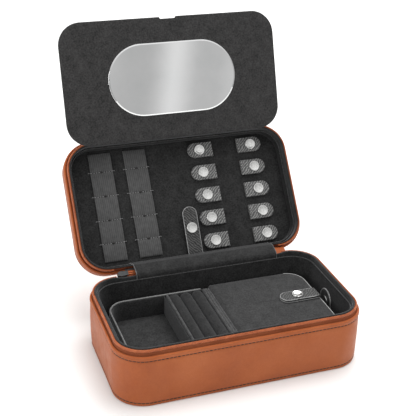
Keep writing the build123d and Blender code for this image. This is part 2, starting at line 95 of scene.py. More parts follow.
WORLD = Matrix.Identity(4)
BASE = Matrix.Translation((0, 0, BASE_HEIGHT))
LID = hinged((73.10, 57.94), 126.66, ZIP_HALF_DEPTH)
PANEL = hinged((141.81, 160.68), 108.54, PANEL_DEPTH / 2)
SPINE = hinged((66.06, 52.58), 180 - 26.67, 0)
TRAY = Matrix.Translation((-1.3, 0, 0))


# Mesh building


class Form:
    """Collects points and faces in millimetres, with flat coordinates in millimetres for weave and grain."""

    def __init__(self):
        self.points = []
        self.faces = []
        self.flat = []

    def grid(self, rows, flats, wrap=False):
        """Quads over rows of points. flats has one more row than rows when the rows close on themselves."""
        first, width = len(self.points), len(rows[0])
        for row in rows:
            self.points.extend(row)
        for i in range(len(rows) if wrap else len(rows) - 1):
            k = (i + 1) % len(rows)
            for j in range(width - 1):
                a, b = first + i * width + j, first + k * width + j
                self.faces.append((a, b, b + 1, a + 1))
                self.flat.append((flats[i][j], flats[i + 1][j], flats[i + 1][j + 1], flats[i][j + 1]))

    def face(self, ring, flats):
        """One face over a ring of points."""
        first = len(self.points)
        self.points.extend(ring)
        self.faces.append(tuple(range(first, first + len(ring))))
        self.flat.append(tuple(flats))

    def bar(self, rows, flats):
        """Quads over rings that repeat their first point, and a face over each end."""
        self.grid(rows, flats)
        for row, flat in ((rows[0], flats[0]), (rows[-1], flats[-1])):
            self.face(row[:-1], flat[:-1])

    def add(self, other):
        """Takes over another form's faces."""
        first = len(self.points)
        self.points += other.points
        self.faces += [tuple(first + v for v in face) for face in other.faces]
        self.flat += other.flat

    def tube(self, path, radii, sides=8, wrap=False):
        """A round tube along a path; radii is one number or one for each point."""
        path = [Vector(p) for p in path]
        count = len(path)
        if not hasattr(radii, "__len__"):
            radii = [radii] * count
        rows, flats, run, side = [], [], 0.0, None
        for i, point in enumerate(path):
            after = path[(i + 1) % count] if wrap or i + 1 < count else point
            before = path[i - 1] if wrap or i else point
            heading = (after - before).normalized()
            if side is None:
                side = heading.orthogonal().normalized()
            side = (side - heading * side.dot(heading)).normalized()
            up = heading.cross(side)
            run += (point - before).length if i else 0.0
            row, flat = [], []
            for j in range(sides + 1):
                angle = 2 * math.pi * j / sides
                offset = side * math.cos(angle) + up * math.sin(angle)
                row.append(point + offset * radii[i])
                flat.append((run, j * radii[i]))
            rows.append(row)
            flats.append(flat)
        if wrap:
            self.grid(rows, flats + [[(run + 1.0, v) for _, v in flats[0]]], wrap)
        else:
            self.bar(rows, flats)

    def make(self, name, material, body=None, nodes=(), slot=None, sharp=40.0):
        """An object of the collected faces, which rides on a body and stands for CAD nodes."""
        mesh = bpy.data.meshes.new(name)
        mesh.from_pydata([tuple(p * 0.001) for p in self.points], [], self.faces)
        layer = mesh.uv_layers.new(name="flat")
        corners = [corner for face in self.flat for corner in face]
        layer.data.foreach_set("uv", [c * 0.001 for corner in corners for c in corner])
        work = bmesh.new()
        work.from_mesh(mesh)
        bmesh.ops.remove_doubles(work, verts=work.verts, dist=1e-7)
        bmesh.ops.recalc_face_normals(work, faces=work.faces)
        work.to_mesh(mesh)
        work.free()
        mesh.shade_smooth()
        mesh.set_sharp_from_angle(angle=math.radians(sharp))
        mesh.materials.append(material)
        piece = bpy.data.objects.new(name, mesh)
        bpy.context.scene.collection.objects.link(piece)
        if body:
            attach(piece, body)
        if nodes:
            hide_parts(*nodes)
        return piece


def placed(leaf, points):
    """Points of a leaf in the world."""
    return [leaf @ Vector(p) for p in points]


def outline(points):
    """(x, y, mitre x, mitre y, run) round a closed anticlockwise polygon.

    A point less inset times its mitre is on the polygon drawn in by inset.
    """
    count, result, run = len(points), [], 0.0
    for i, (x, y) in enumerate(points):
        px, py = points[i - 1]
        qx, qy = points[(i + 1) % count]
        before = Vector((y - py, px - x)).normalized()
        after = Vector((qy - y, x - qx)).normalized()
        mitre = (before + after) / max(1 + before.dot(after), 0.2)
        if i:
            run += math.hypot(x - px, y - py)
        result.append((x, y, mitre.x, mitre.y, run))
    return result


def arc(middle, radius, start, end, steps):
    """Points along an arc, in degrees, both ends included."""
    angles = [math.radians(start + (end - start) * i / steps) for i in range(steps + 1)]
    return [(middle[0] + radius * math.cos(a), middle[1] + radius * math.sin(a)) for a in angles]


def divided(points, step):
    """The polygon with points added so that no edge is longer than step."""
    result = []
    for i, (x, y) in enumerate(points):
        qx, qy = points[(i + 1) % len(points)]
        parts = max(1, math.ceil(math.hypot(qx - x, qy - y) / step - 1e-6))
        result += [(x + (qx - x) * k / parts, y + (qy - y) * k / parts) for k in range(parts)]
    return result


def opened(points):
    """A broken loop of points, turned round so that it starts after its gap."""
    gap = max(range(len(points)), key=lambda i: math.dist(points[i][:2], points[i - 1][:2]))
    return points[gap:] + points[:gap]


def corner_arcs(width, depth, corner, steps):
    """The four round corners of a rectangle as lists of points, from the front right one."""
    x, y = width / 2 - corner, depth / 2 - corner
    middles = ((x, -y), (x, y), (-x, y), (-x, -y))
    return [arc(middle, corner, 90 * i - 90, 90 * i, steps) for i, middle in enumerate(middles)]


def rounded(width, depth, corner, step=5.0, steps=12):
    """A rounded rectangle's polygon, from the front right corner."""
    return divided(sum(corner_arcs(width, depth, corner, steps), []), step)


def box(left, right, front, back, step):
    """A plain rectangle's polygon."""
    return divided([(left, front), (right, front), (right, back), (left, back)], step)


def tongue(start, length, width):
    """A strap's polygon: square at start, round at length."""
    half = width / 2
    points = [(start, half), (start, -half)] + arc((length - half, 0), half, -90, 90, 14)
    return divided(points, 2.5)


def sweep(form, leaf, rim, profile):
    """A wall that follows a closed rim: profile gives (inset, height) pairs for a rim point."""
    rows, flats = [], []
    for x, y, mx, my, run in rim:
        row, flat, rise, last = [], [], 0.0, None
        for inset, height in profile(x, y, run):
            if last:
                rise += math.hypot(inset - last[0], height - last[1])
            last = (inset, height)
            row.append(leaf @ Vector((x - inset * mx, y - inset * my, height)))
            flat.append((run, rise))
        rows.append(row)
        flats.append(flat)
    end = rim[-1][4] + math.hypot(rim[0][0] - rim[-1][0], rim[0][1] - rim[-1][1])
    form.grid(rows, flats + [[(end, v) for _, v in flats[0]]], wrap=True)


def round_edge(low, high, edge):
    """(inset, height) pairs up a rounded edge from the under face to the upper one."""
    pairs = []
    for middle, start in ((low + edge, -90), (high - edge, 0)):
        for i in range(5):
            a = math.radians(start + 90 * i / 4)
            pairs.append((edge - edge * math.cos(a), middle + edge * math.sin(a)))
    return pairs


def as_it_is(point):
    """A point that isn't bent."""
    return point


def pillow(form, leaf, polygon, low, high, edge, crown=0.0, under=0.0, bend=as_it_is):
    """A closed plate with rounded edges whose faces swell by crown and under."""
    rings = (0.92, 0.78, 0.55, 0.28)
    rim = outline(polygon)
    cx = sum(p[0] for p in rim) / len(rim)
    cy = sum(p[1] for p in rim) / len(rim)
    layers = [(edge, low, share, under) for share in reversed(rings)]
    layers += [(inset, height, 1.0, 0.0) for inset, height in round_edge(low, high, edge)]
    layers += [(edge, high, share, crown) for share in rings]
    columns = []
    for x, y, mx, my, _ in rim:
        column = []
        for inset, height, share, swell in layers:
            px = cx + (x - inset * mx - cx) * share
            py = cy + (y - inset * my - cy) * share
            lift = swell * (1 - share**3)
            column.append(Vector((px, py, height + (lift if height > (low + high) / 2 else -lift))))
        columns.append(column)
    flats = [[(p.x, p.y + p.z) for p in column] for column in columns]
    rows = [[leaf @ bend(p) for p in column] for column in columns]
    form.grid(rows, flats + [flats[0]], wrap=True)
    for j in (0, -1):
        ring = [column[j] for column in columns]
        middle = sum(ring, Vector()) / len(ring)
        first = len(form.points)
        form.points.extend(leaf @ bend(p) for p in ring + [middle])
        for k in range(len(ring)):
            n = (k + 1) % len(ring)
            form.faces.append((first + k, first + n, first + len(ring)))
            form.flat.append(tuple((p.x, p.y + p.z) for p in (ring[k], ring[n], middle)))


def rim_path(leaf, rim, inset, height):
    """Points round a rim at an inset and a height."""
    return [leaf @ Vector((x - inset * mx, y - inset * my, height)) for x, y, mx, my, _ in rim]


def stitches(form, path, pitch, length, radius, outward, closed=False):
    """Separate thread stitches along a path. outward gives the surface's direction at a point."""
    path = [Vector(p) for p in path]
    if closed:
        path.append(path[0])
    runs = [0.0]
    for a, b in zip(path, path[1:]):
        runs.append(runs[-1] + (b - a).length)
    count = max(1, round(runs[-1] / pitch))
    step, k = runs[-1] / count, 0

    def at(run):
        nonlocal k
        while k + 2 < len(runs) and runs[k + 1] < run:
            k += 1
        gap = max(runs[k + 1] - runs[k], 1e-9)
        return path[k].lerp(path[k + 1], (run - runs[k]) / gap)

    drops, shares = (-0.25, 0.0, 0.05, 0.0, -0.25), (0.5, 0.95, 1, 0.95, 0.5)
    for i in range(count):
        start = (i + 0.5) * step - length / 2
        points = [at(max(0.0, start + length * f)) for f in (0.0, 0.12, 0.5, 0.88, 1.0)]
        up = outward(points[2])
        form.tube([p + up * d for p, d in zip(points, drops)], [s * radius for s in shares], 6)


def wave(*values, size=1.0, seed=0.0):
    """Smooth noise from -1 to 1 with features of that size in millimetres."""
    return noise.noise(Vector([v / size for v in values] + [seed] * (3 - len(values))))


# Materials


def linear(colour):
    """A display colour from 0 to 255, or one number for a grey, as a shader colour."""
    parts = colour if hasattr(colour, "__len__") else (colour,) * 3
    return tuple(((c / 255 + 0.055) / 1.055) ** 2.4 for c in parts) + (1.0,)


class Material:
    """A node material with a principled shader and short ways to add texture."""

    def __init__(self, name, **sockets):
        self.made = bpy.data.materials.new(name)
        self.made.use_nodes = True
        self.nodes = self.made.node_tree.nodes
        self.links = self.made.node_tree.links
        self.shader = self.nodes["Principled BSDF"]
        for socket, value in sockets.items():
            self.shader.inputs[socket.replace("_", " ")].default_value = value
        self.where = self.nodes.new("ShaderNodeTexCoord")
        self.height = None

    def node(self, kind, **settings):
        """A new node with its settings and plain socket values."""
        made = self.nodes.new(kind)
        for key, value in settings.items():
            if hasattr(made, key):
                setattr(made, key, value)
            else:
                made.inputs[key].default_value = value
        return made

    def mapped(self, made, output, scale):
        """Feeds a texture node with scaled coordinates."""
        mapping = self.node("ShaderNodeMapping")
        mapping.inputs["Scale"].default_value = scale
        self.links.new(self.where.outputs[output], mapping.inputs["Vector"])
        self.links.new(mapping.outputs["Vector"], made.inputs["Vector"])
        return made

    def noise(self, size, detail=3.0, roughness=0.55):
        """Noise with features of that size in millimetres."""
        made = self.node("ShaderNodeTexNoise", Scale=1.0, Detail=detail, Roughness=roughness)
        return self.mapped(made, "Object", [1000 / size] * 3).outputs["Fac"]

    def cells(self, size):
        """Cells of that size in millimetres, as in leather grain."""
        made = self.node("ShaderNodeTexVoronoi", Scale=1.0)
        return self.mapped(made, "Object", [1000 / size] * 3).outputs["Distance"]

    def ribs(self, width, direction, distort=0.0, flip=(1, 1, 1)):
        """Bands of about that width in millimetres along one flat direction, as in weave and webbing."""
        scale = 1000 / width / 20 * math.pi
        made = self.node(
            "ShaderNodeTexWave", bands_direction=direction, Scale=scale, Distortion=distort, Detail=1.0,
        )
        return self.mapped(made, "UV", flip).outputs["Fac"]

    def math(self, operation, a, b):
        """A sum or product of two values, which may be outputs or numbers."""
        made = self.node("ShaderNodeMath", operation=operation)
        for socket, value in zip(made.inputs, (a, b)):
            if hasattr(value, "is_linked"):
                self.links.new(value, socket)
            else:
                socket.default_value = value
        return made.outputs["Value"]

    def mix(self, first, second, share):
        """Two values added, the first by its share and the second by the rest."""
        rest = round(1 - share, 2)
        return self.math("ADD", self.math("MULTIPLY", first, share), self.math("MULTIPLY", second, rest))

    def ramp(self, factor, stops, socket="Base Color"):
        """Colours or values over a factor, into a socket of the shader."""
        made = self.node("ShaderNodeValToRGB")
        elements = made.color_ramp.elements
        while len(elements) < len(stops):
            elements.new(0.5)
        for element, (place, colour) in zip(elements, stops):
            element.position = place
            element.color = colour if hasattr(colour, "__len__") else (colour, colour, colour, 1)
        self.links.new(factor, made.inputs["Fac"])
        self.links.new(made.outputs["Color"], self.shader.inputs[socket])

    def bump(self, factor, distance, strength=1.0):
        """Adds relief of that height in millimetres."""
        made = self.node("ShaderNodeBump", Strength=strength, Distance=distance / 1000)
        self.links.new(factor, made.inputs["Height"])
        if self.height:
            self.links.new(self.height, made.inputs["Normal"])
        self.height = made.outputs["Normal"]
        self.links.new(self.height, self.shader.inputs["Normal"])


def velvet(name, dark, light, sheen=0.3, nap=7.0):
    """Short-pile cloth: brushed patches, fine pile and a soft sheen."""
    m = Material(name, Roughness=0.95, Sheen_Weight=sheen, Sheen_Roughness=0.45, Specular_IOR_Level=0.15)
    m.shader.inputs["Sheen Tint"].default_value = (0.9, 0.9, 0.92, 1)
    patches = m.noise(nap, detail=4.0)
    clumps = m.noise(1.5, detail=1.0)
    m.ramp(m.mix(patches, clumps, 0.4), [(0.34, linear(dark)), (0.66, linear(light))])
    m.bump(m.noise(0.55, detail=2.0), 0.12, 0.6)
    m.bump(patches, 0.25, 0.3)
    return m.made


def leather(name, tones, grain=0.7, relief=0.06, rough=(0.42, 0.6), patch=38.0, hatch=0.0):
    """Leather with cell grain, mottling and polish that comes and goes.

    tones run from dark to light, and hatch sets the width of pressed diagonal lines.
    """
    m = Material(name, Specular_IOR_Level=0.3, Sheen_Weight=0.04)
    fine = m.noise(1.6)
    tone = m.mix(m.noise(patch, detail=5.0, roughness=0.6), fine, 0.75)
    if hatch:
        pressed = m.ribs(hatch, "DIAGONAL", 5.0, (1, -1, 1))
        tone = m.mix(tone, pressed, 0.7)
        m.bump(pressed, relief, 0.8)
    m.ramp(tone, [(place, linear(colour)) for place, colour in zip((0.3, 0.5, 0.72), tones)])
    m.ramp(m.noise(9.0), [(0.3, rough[0]), (0.7, rough[1])], "Roughness")
    m.bump(m.cells(grain), relief, 0.7)
    m.bump(fine, relief, 0.4)
    return m.made


def satin(name, dark, light):
    """Smooth corded trim with a dull gloss."""
    m = Material(name, Specular_IOR_Level=0.7, Sheen_Weight=0.3, Coat_Weight=0.5, Coat_Roughness=0.25)
    fibres = m.noise(0.5)
    m.ramp(fibres, [(0.3, linear(dark)), (0.7, linear(light))])
    m.ramp(m.noise(4.0), [(0.3, 0.32), (0.7, 0.45)], "Roughness")
    m.bump(fibres, 0.05, 0.5)
    return m.made


def woven(name, dark, light, warp=0.55, weft=0.8, relief=0.12, rough=0.8, sheen=0.1):
    """Woven tape: warp and weft over flat coordinates."""
    m = Material(name, Roughness=rough, Sheen_Weight=sheen, Specular_IOR_Level=0.25)
    threads = m.math("MULTIPLY", m.ribs(warp, "Y", 0.4), m.ribs(weft, "X", 0.4))
    m.ramp(m.mix(threads, m.noise(4.0), 0.45), [(0.2, linear(dark)), (0.65, linear(light))])
    m.bump(threads, relief, 0.8)
    return m.made


def metal(name, colour, rough=(0.2, 0.3)):
    """Plated metal with faint scuffs."""
    m = Material(name, Metallic=1.0)
    scuffed = [c * 0.92 for c in colour]
    m.ramp(m.noise(1.2, detail=4.0), [(0.35, linear(scuffed)), (0.6, linear(colour))])
    m.ramp(m.noise(2.5, detail=4.0), [(0.35, rough[0]), (0.7, rough[1])], "Roughness")
    return m.made


def thread(name, dark, light):
    """Twisted sewing thread."""
    m = Material(name, Roughness=0.7, Sheen_Weight=0.15)
    twist = m.ribs(0.5, "DIAGONAL")
    m.ramp(twist, [(0.2, linear(dark)), (0.8, linear(light))])
    m.bump(twist, 0.05)
    return m.made


def mirror_glass(name):
    """Silvered glass with a trace of dust."""
    m = Material(name, Metallic=1.0)
    dust = m.noise(30.0, detail=6.0)
    m.ramp(dust, [(0.3, linear((232, 233, 233))), (0.7, linear(240))])
    m.ramp(dust, [(0.3, 0.015), (0.75, 0.05)], "Roughness")
    return m.made


TAN = leather("tan_leather", ((150, 75, 34), (163, 85, 41), (175, 97, 52)))
# A darker copy of the tan leather: painted shade in the groove between the rolled edge and the zip.
TAN_GROOVE_SHADE = leather("tan_groove_shade", ((126, 62, 32), (142, 75, 42), (158, 89, 53)), grain=0.5, rough=(0.6, 0.8))
TAPE = woven("zip_tape", (112, 52, 26), (152, 82, 48))
COIL = leather(
    "zip_coil", ((142, 70, 37), (166, 89, 51), (190, 111, 69)), grain=0.4, relief=0.02, rough=(0.3, 0.42),
    patch=6.0,
)
BLACK_THREAD = thread("black_thread", (14, 13, 13), (38, 36, 35))
GREY_THREAD = thread("grey_thread", 96, 150)
LIP_VELVET = velvet("lip_velvet", (30, 31, 31), (54, 55, 55))
LINER_VELVET = velvet("liner_velvet", 31, 56, sheen=0.14)
LID_VELVET = velvet("lid_liner_velvet", 22, 42, sheen=0.1)
# Lighter velvet for the lining's top cord: a painted highlight along the edge.
EDGING_HIGHLIGHT = velvet("edging_highlight_velvet", 48, 80, nap=3.0)
# Lighter velvet for the flap's hems: a painted highlight along the flap's side edges.
HEM_HIGHLIGHT = velvet("hem_highlight_velvet", 74, 112, sheen=0.4, nap=3.0)
FLOOR_CLOTH = velvet("floor_cloth", 30, 55, sheen=0.15, nap=9.0)
PANEL_VELVET = velvet("panel_velvet", 40, (66, 65, 65), sheen=0.25, nap=9.0)
TRAY_VELVET = velvet("tray_velvet", 36, 62, sheen=0.25)
ROLL_VELVET = velvet("roll_velvet", 28, 50, sheen=0.22)
# A lighter copy of the tray velvet for the rail and the partition's top: painted light on the raised tops.
RAIL_LIT_VELVET = velvet("rail_lit_velvet", 50, 82, nap=4.0)
FLAP_VELVET = velvet("flap_velvet", 30, 54)
# The tray's satin cord: its light grey is partly its own colour and partly a painted highlight.
PIPING_AND_HIGHLIGHT = satin("piping", 88, (128, 128, 127))
# Light grey for the tray lid's edge bead: a painted highlight.
CORD_EDGE_HIGHLIGHT = satin("highlight_piping", 120, (160, 160, 158))
PRESSED = {"grain": 1.15, "relief": 0.25, "patch": 1.5, "hatch": 0.8}
BLACK_LEATHER = leather("black_leather", (60, 98, (156, 156, 154)), rough=(0.4, 0.52), **PRESSED)
STRAP_LEATHER = leather("strap_leather", (36, 60, (96, 96, 95)), rough=(0.42, 0.55), **PRESSED)
# Strap edges: partly the leather's edge paint, partly a painted highlight that lightens them.
STRAP_EDGE_PAINT_AND_HIGHLIGHT = leather("strap_edge", (120, 150, (184, 184, 182)), grain=0.4, rough=(0.35, 0.5), patch=5.0)
WEBBING = woven("webbing", 62, 92, warp=1.0, weft=0.6, relief=0.06, rough=0.85, sheen=0.2)
SNAP = metal("snap_chrome", (226, 226, 224))
GUNMETAL = metal("slider_metal", (92, 93, 94), (0.3, 0.45))
MIRROR = mirror_glass("mirror_glass")
BOARD = leather("board", ((120, 104, 84), (136, 118, 96), (150, 132, 108)), grain=1.2, rough=(0.8, 0.95))


# Case walls

CASE_RIM = outline(rounded(WIDTH, DEPTH, CORNER))
FINE_RIM = outline(rounded(WIDTH, DEPTH, CORNER, step=2.0, steps=24))
UPPER_SEAM = (0.28, -10.15)
STITCH_PITCH, STITCH_LENGTH = 3.6, 3.0
COIL_STEP, COIL_PITCH, COIL_RELIEF = 0.32, 1.28, 0.17

ROLLED_TOP = [
    (-0.1, -12.2), (0.05, -11.2), (0.32, -10.7), (0.42, -10.1), (0.2, -9.6), (-0.3, -9.1), (-0.5, -8.3),
    (-0.48, -7.6), (-0.28, -7.2), (-0.46, -6.8), (-0.36, -6.1), (0.1, -5.5), (0.8, -5.3), (1.5, -5.6),
    (1.85, -6.4), (1.85, -8.5),
]
BASE_WALL = [
    (1.6, -55.9), (1.2, -56.3), (0.6, -56.35), (0.2, -56.0), (0.0, -55.3), (0.1, -54.6), (0.5, -54.0),
    (0.6, -53.6), (0.45, -53.2), (0.05, -52.6), (-0.12, -51.4), (-0.35, -44.0), (-0.5, -36.0), (-0.55, -28.0),
    (-0.45, -20.0),
] + ROLLED_TOP
LID_WALL = [
    (1.6, -20.1), (0.9, -20.05), (0.35, -19.8), (0.1, -19.4), (0.4, -19.0), (0.5, -18.6), (0.35, -18.2),
    (0.0, -17.7), (-0.18, -16.4), (-0.22, -14.2),
] + ROLLED_TOP
INNER_BAND = [(1.7, -6.0), (1.95, -6.4), (2.3, -5.8), (2.75, -4.6), (3.1, -3.3), (3.45, -2.6)]


def hinge_share(leaf, x, y):
    """1 along the stretch without zip, falling to 0 over a few millimetres past its ends."""
    hinge_side = y > 0 if leaf is BASE else y < 0
    if not hinge_side:
        return 0.0
    past = (abs(x) - HINGE_ZONE + 5.0) / 8.0
    t = min(max(past, 0.0), 1.0)
    return 1 - t * t * (3 - 2 * t)


def leather_wall(leaf, body, pairs, low):
    """The leather side wall with its rolled edge, a little uneven as hand-stretched leather is."""

    def profile(x, y, run):
        result = []
        for inset, height in pairs:
            loose = min(1.0, (height - low) / 10.0, max(0.0, -12.0 - height) / 6.0)
            ripple = 0.28 * wave(x, y, height, size=34.0) * max(loose, 0.0)
            result.append((inset + ripple, height))
        return result

    form = Form()
    sweep(form, leaf, FINE_RIM, profile)
    form.make(f"{body}_side", TAN, body, [f"{body}_side_leather"], "tan_leather", sharp=60)


def wall_stitching(leaf, body, lower_seam):
    """Two rows of stitches round the wall."""

    def outward(point):
        local = leaf.inverted() @ point
        flat = Vector((
            local.x - max(-HALF_WIDTH + CORNER, min(HALF_WIDTH - CORNER, local.x)),
            local.y - max(-HALF_DEPTH + CORNER, min(HALF_DEPTH - CORNER, local.y)),
            0,
        ))
        return (leaf.to_3x3() @ flat).normalized()

    form = Form()
    for seam, radius in ((UPPER_SEAM, 0.36), (lower_seam, 0.4)):
        path = rim_path(leaf, FINE_RIM, *seam)
        stitches(form, path, STITCH_PITCH, STITCH_LENGTH, radius, outward, closed=True)
    form.make(f"{body}_stitching", BLACK_THREAD, body, slot="tan_leather")


def inner_band(leaf, body):
    """The leather between the rolled edge and the zip, in a darker tan that is painted shade for the groove.
    """
    form = Form()
    sweep(form, leaf, CASE_RIM, lambda x, y, run: INNER_BAND)
    form.make(f"{body}_inner_band", TAN_GROOVE_SHADE, body, slot="tan_leather")


def coil_ridge(run, phase):
    """The swell of the zip's teeth along a coil."""
    return 1 + COIL_RELIEF * math.cos(2 * math.pi * run / COIL_PITCH + phase)


def zip_coil(leaf, body):
    """Ridged teeth along the zip edge, open along the hinge."""
    dense = outline(rounded(WIDTH, DEPTH, CORNER, step=COIL_STEP, steps=150))
    rim = [p for p in dense if (p[1] > 0) != (leaf is BASE) or abs(p[0]) >= HINGE_ZONE or abs(p[1]) <= 60]
    rows, flats = [], []
    for i, (x, y, mx, my, _) in enumerate(opened(rim)):
        run = i * COIL_STEP
        row, flat = [], []
        for j in range(11):
            a = 2 * math.pi * j / 10
            ridge = coil_ridge(run, 0.9 * math.sin(a))
            inset, height = 2.9 + 0.86 * ridge * math.cos(a), -1.25 + 1.5 * ridge * math.sin(a)
            row.append(leaf @ Vector((x - inset * mx, y - inset * my, height)))
            flat.append((run, j * 0.8))
        rows.append(row)
        flats.append(flat)
    form = Form()
    form.bar(rows, flats)
    form.make(f"{body}_coil", COIL, body, [f"{body}_zip_coil"], "zip_coil", sharp=75)


def zip_tape(leaf, body, foot):
    """The woven tape behind the teeth, lower along the hinge."""
    pairs = [
        (3.5, foot), (3.42, -8.0), (3.36, -3.2), (3.7, -0.9), (4.1, -0.75), (4.2, -3.0), (4.2, foot),
        (3.5, foot),
    ]

    def profile(x, y, run):
        top = -0.75 - 2.4 * hinge_share(leaf, x, y)
        return [(inset, min(height, top) if height > -3.1 else height) for inset, height in pairs]

    form = Form()
    sweep(form, leaf, CASE_RIM, profile)
    form.make(f"{body}_tape", TAPE, body, [f"{body}_zip_tape"], "zip_tape")


def case_lip(leaf, body, inner, foot):
    """The padded velvet lip inside the zip, lower along the hinge and under the mirror panel's cloth."""
    pairs = [
        (4.3, foot), (4.3, -3.0), (4.2, -1.3), (4.12, -0.7), (4.1, -0.3), (4.2, 0.15), (4.4, 0.42),
        (4.7, 0.6), (inner - 0.9, 0.6), (inner - 0.4, 0.45), (inner - 0.1, 0.0), (inner, -0.7), (inner, foot),
        (4.3, foot),
    ]

    def profile(x, y, run):
        drop = 1.3 * hinge_share(leaf, x, y)
        if leaf is LID and y > 0:
            drop = 0.5 * min(1.0, max(0.0, (PANEL_HINGE_HALF + 3.5 - abs(x)) / 2.5))
        puff = 0.12 * wave(run, size=14.0, seed=3.1)
        result = []
        for inset, height in pairs:
            if height > -2.0:
                height = height - drop + (puff if height > 0.1 else 0.0)
            result.append((inset, height))
        return result

    form = Form()
    sweep(form, leaf, FINE_RIM, profile)
    form.make(f"{body}_padded_lip", LIP_VELVET, body, [f"{body}_lip"], "velvet")


def case_liner(leaf, body, material, inner, foot, ledge, floor):
    """The padded inner wall with a fine corded top edge, whose lighter velvet is a painted highlight."""
    face = inner + 1.6
    middle = (floor - ledge) / 2
    pairs = [
        (inner, foot), (inner + 0.1, -ledge - 0.6), (inner + 0.5, -ledge - 0.1), (inner + 1.1, -ledge - 0.1),
        (face - 0.1, -ledge - 0.7), (face, -ledge - 2.0), (face + 0.35, middle), (face + 0.1, floor + 1.5),
        (face - 0.4, floor + 0.3), (3.5, floor + 0.2), (3.5, foot), (inner, foot),
    ]

    def profile(x, y, run):
        return [
            (inset + (0.3 * wave(run, height, size=22.0, seed=1.7) if inset > inner + 1.4 else 0.0), height)
            for inset, height in pairs
        ]

    form, edging = Form(), Form()
    sweep(form, leaf, CASE_RIM, profile)
    form.make(f"{body}_lining", material, body, [f"{body}_liner"], "velvet")
    # The cord's lighter velvet is a painted highlight.
    edging.tube(rim_path(leaf, CASE_RIM, inner + 1.25, -ledge + 0.2), 0.55, wrap=True)
    edging.make(f"{body}_lining_edging", EDGING_HIGHLIGHT, body, slot="velvet")


def floor_pad(leaf, body, floor):
    """The pad over a half's floor."""
    form = Form()
    pillow(form, leaf, rounded(WIDTH - 8.0, DEPTH - 8.0, CORNER - 4.0), floor - 1.7, floor - 0.1, 0.7, 0.15)
    form.make(f"{body}_pad", FLOOR_CLOTH, body, [f"{body}_floor_pad"], "velvet")


def case_half(leaf, body, wall, height, lower_seam, liner, inner, foot, ledge, floor):
    """The walls, zip and padding of the base or the lid."""
    leather_wall(leaf, body, wall, -height)
    wall_stitching(leaf, body, lower_seam)
    inner_band(leaf, body)
    zip_coil(leaf, body)
    zip_tape(leaf, body, foot)
    case_lip(leaf, body, inner, foot)
    case_liner(leaf, body, liner, inner, foot, ledge, floor)
    floor_pad(leaf, body, floor)


def lid_top():
    """The lid's swelling leather top."""
    form = Form()
    pillow(form, LID, rounded(WIDTH, DEPTH, CORNER, steps=20), -LID_HEIGHT, -20.1, 0.65, under=1.4)
    form.make("lid_top", TAN, "lid", ["lid_top_leather"], "tan_leather", sharp=60)


case_half(
    BASE, "base", BASE_WALL, BASE_HEIGHT, (0.42, -53.6), LINER_VELVET, inner=6.4, foot=-14.0, ledge=4.6,
    floor=BASE_FLOOR,
)
case_half(
    LID, "lid", LID_WALL, LID_HEIGHT, (0.42, -18.6), LID_VELVET, inner=5.4, foot=-12.0, ledge=6.3,
    floor=LID_FLOOR,
)
lid_top()


# Cloth and leather that cross the hinge

CLOTH_STEP = 2.0


def in_case(leaf, inset, height, far=False):
    """(Y, Z) of an inset and height on a leaf, at the hinge or at the far edge."""
    hinge_y = HALF_DEPTH - inset if leaf is BASE else inset - HALF_DEPTH
    point = leaf @ Vector((0, -hinge_y if far else hinge_y, height))
    return (point.y, point.z)


def on_spine(along, height):
    """(Y, Z) of a place across the hinge spine."""
    point = SPINE @ Vector((0, along, height))
    return (point.y, point.z)


def smooth_line(points, step):
    """A Catmull-Rom line through points with two coordinates."""
    points = [Vector(p) for p in points]
    result = []
    for i in range(len(points) - 1):
        a, b, c, d = points[max(i - 1, 0)], points[i], points[i + 1], points[min(i + 2, len(points) - 1)]
        square, cube = 2 * a - 5 * b + 4 * c - d, 3 * b - a - 3 * c + d
        parts = max(2, math.ceil((c - b).length / step))
        for k in range(parts):
            t = k / parts
            result.append(0.5 * (2 * b + (c - a) * t + square * t**2 + cube * t**3))
    result.append(points[-1])
    return result


def halves(line, middle):
    """A line in two parts that meet at its point nearest to the middle."""
    split = min(range(len(line)), key=lambda i: (line[i] - Vector(middle)).length)
    return line[: split + 1], line[split:]


def cloth(line, x_range, thickness, ripple=0.0, seed=0.0, leaf=WORLD):
    """A strip of cloth: a line in y and z drawn out along x, thick on both sides, with round edges."""
    left, right = x_range
    count = round((right - left) / CLOTH_STEP)
    edge = thickness / 2
    places = [left, left + 0.3 * edge, left + edge]
    places += [left + edge + (right - left - 2 * edge) * i / count for i in range(1, count)]
    places += [right - edge, right - 0.3 * edge, right]
    normals = []
    for i in range(len(line)):
        heading = line[min(i + 1, len(line) - 1)] - line[max(i - 1, 0)]
        normals.append(Vector((-heading.y, heading.x)).normalized())
    rows, flats = [], []
    for x in places:
        from_end = min(x - left, right - x)
        half = max(edge * math.sqrt(max(0.0, 1 - (1 - min(from_end / edge, 1.0)) ** 2)), 0.02)
        upper, under, run, lengths = [], [], 0.0, []
        for i, (point, normal) in enumerate(zip(line, normals)):
            if i:
                run += (point - line[i - 1]).length
            fade = math.sin(math.pi * i / (len(line) - 1))
            lift = ripple * fade * wave(x, run, size=24.0, seed=seed)
            top = point + normal * (half + lift)
            low = point - normal * (half - lift)
            upper.append(leaf @ Vector((x, top.x, top.y)))
            under.append(leaf @ Vector((x, low.x, low.y)))
            lengths.append(run)
        lengths += [run + thickness + run - v for v in lengths[::-1]] + [2 * run + 2 * thickness]
        rows.append(upper + under[::-1] + [upper[0]])
        flats.append([(x, v) for v in lengths])
    form = Form()
    form.grid(rows, flats)
    last = 2 * len(line) - 1
    for row, flat in ((rows[0], flats[0]), (rows[-1], flats[-1])):
        for i in range(len(line) - 1):
            quad = (i, i + 1, last - 1 - i, last - i)
            form.face([row[q] for q in quad], [flat[q] for q in quad])
    return form


def bend_across(piece):
    """Bakes a piece's placement into its mesh; the piece is not bent."""
    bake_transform(piece)


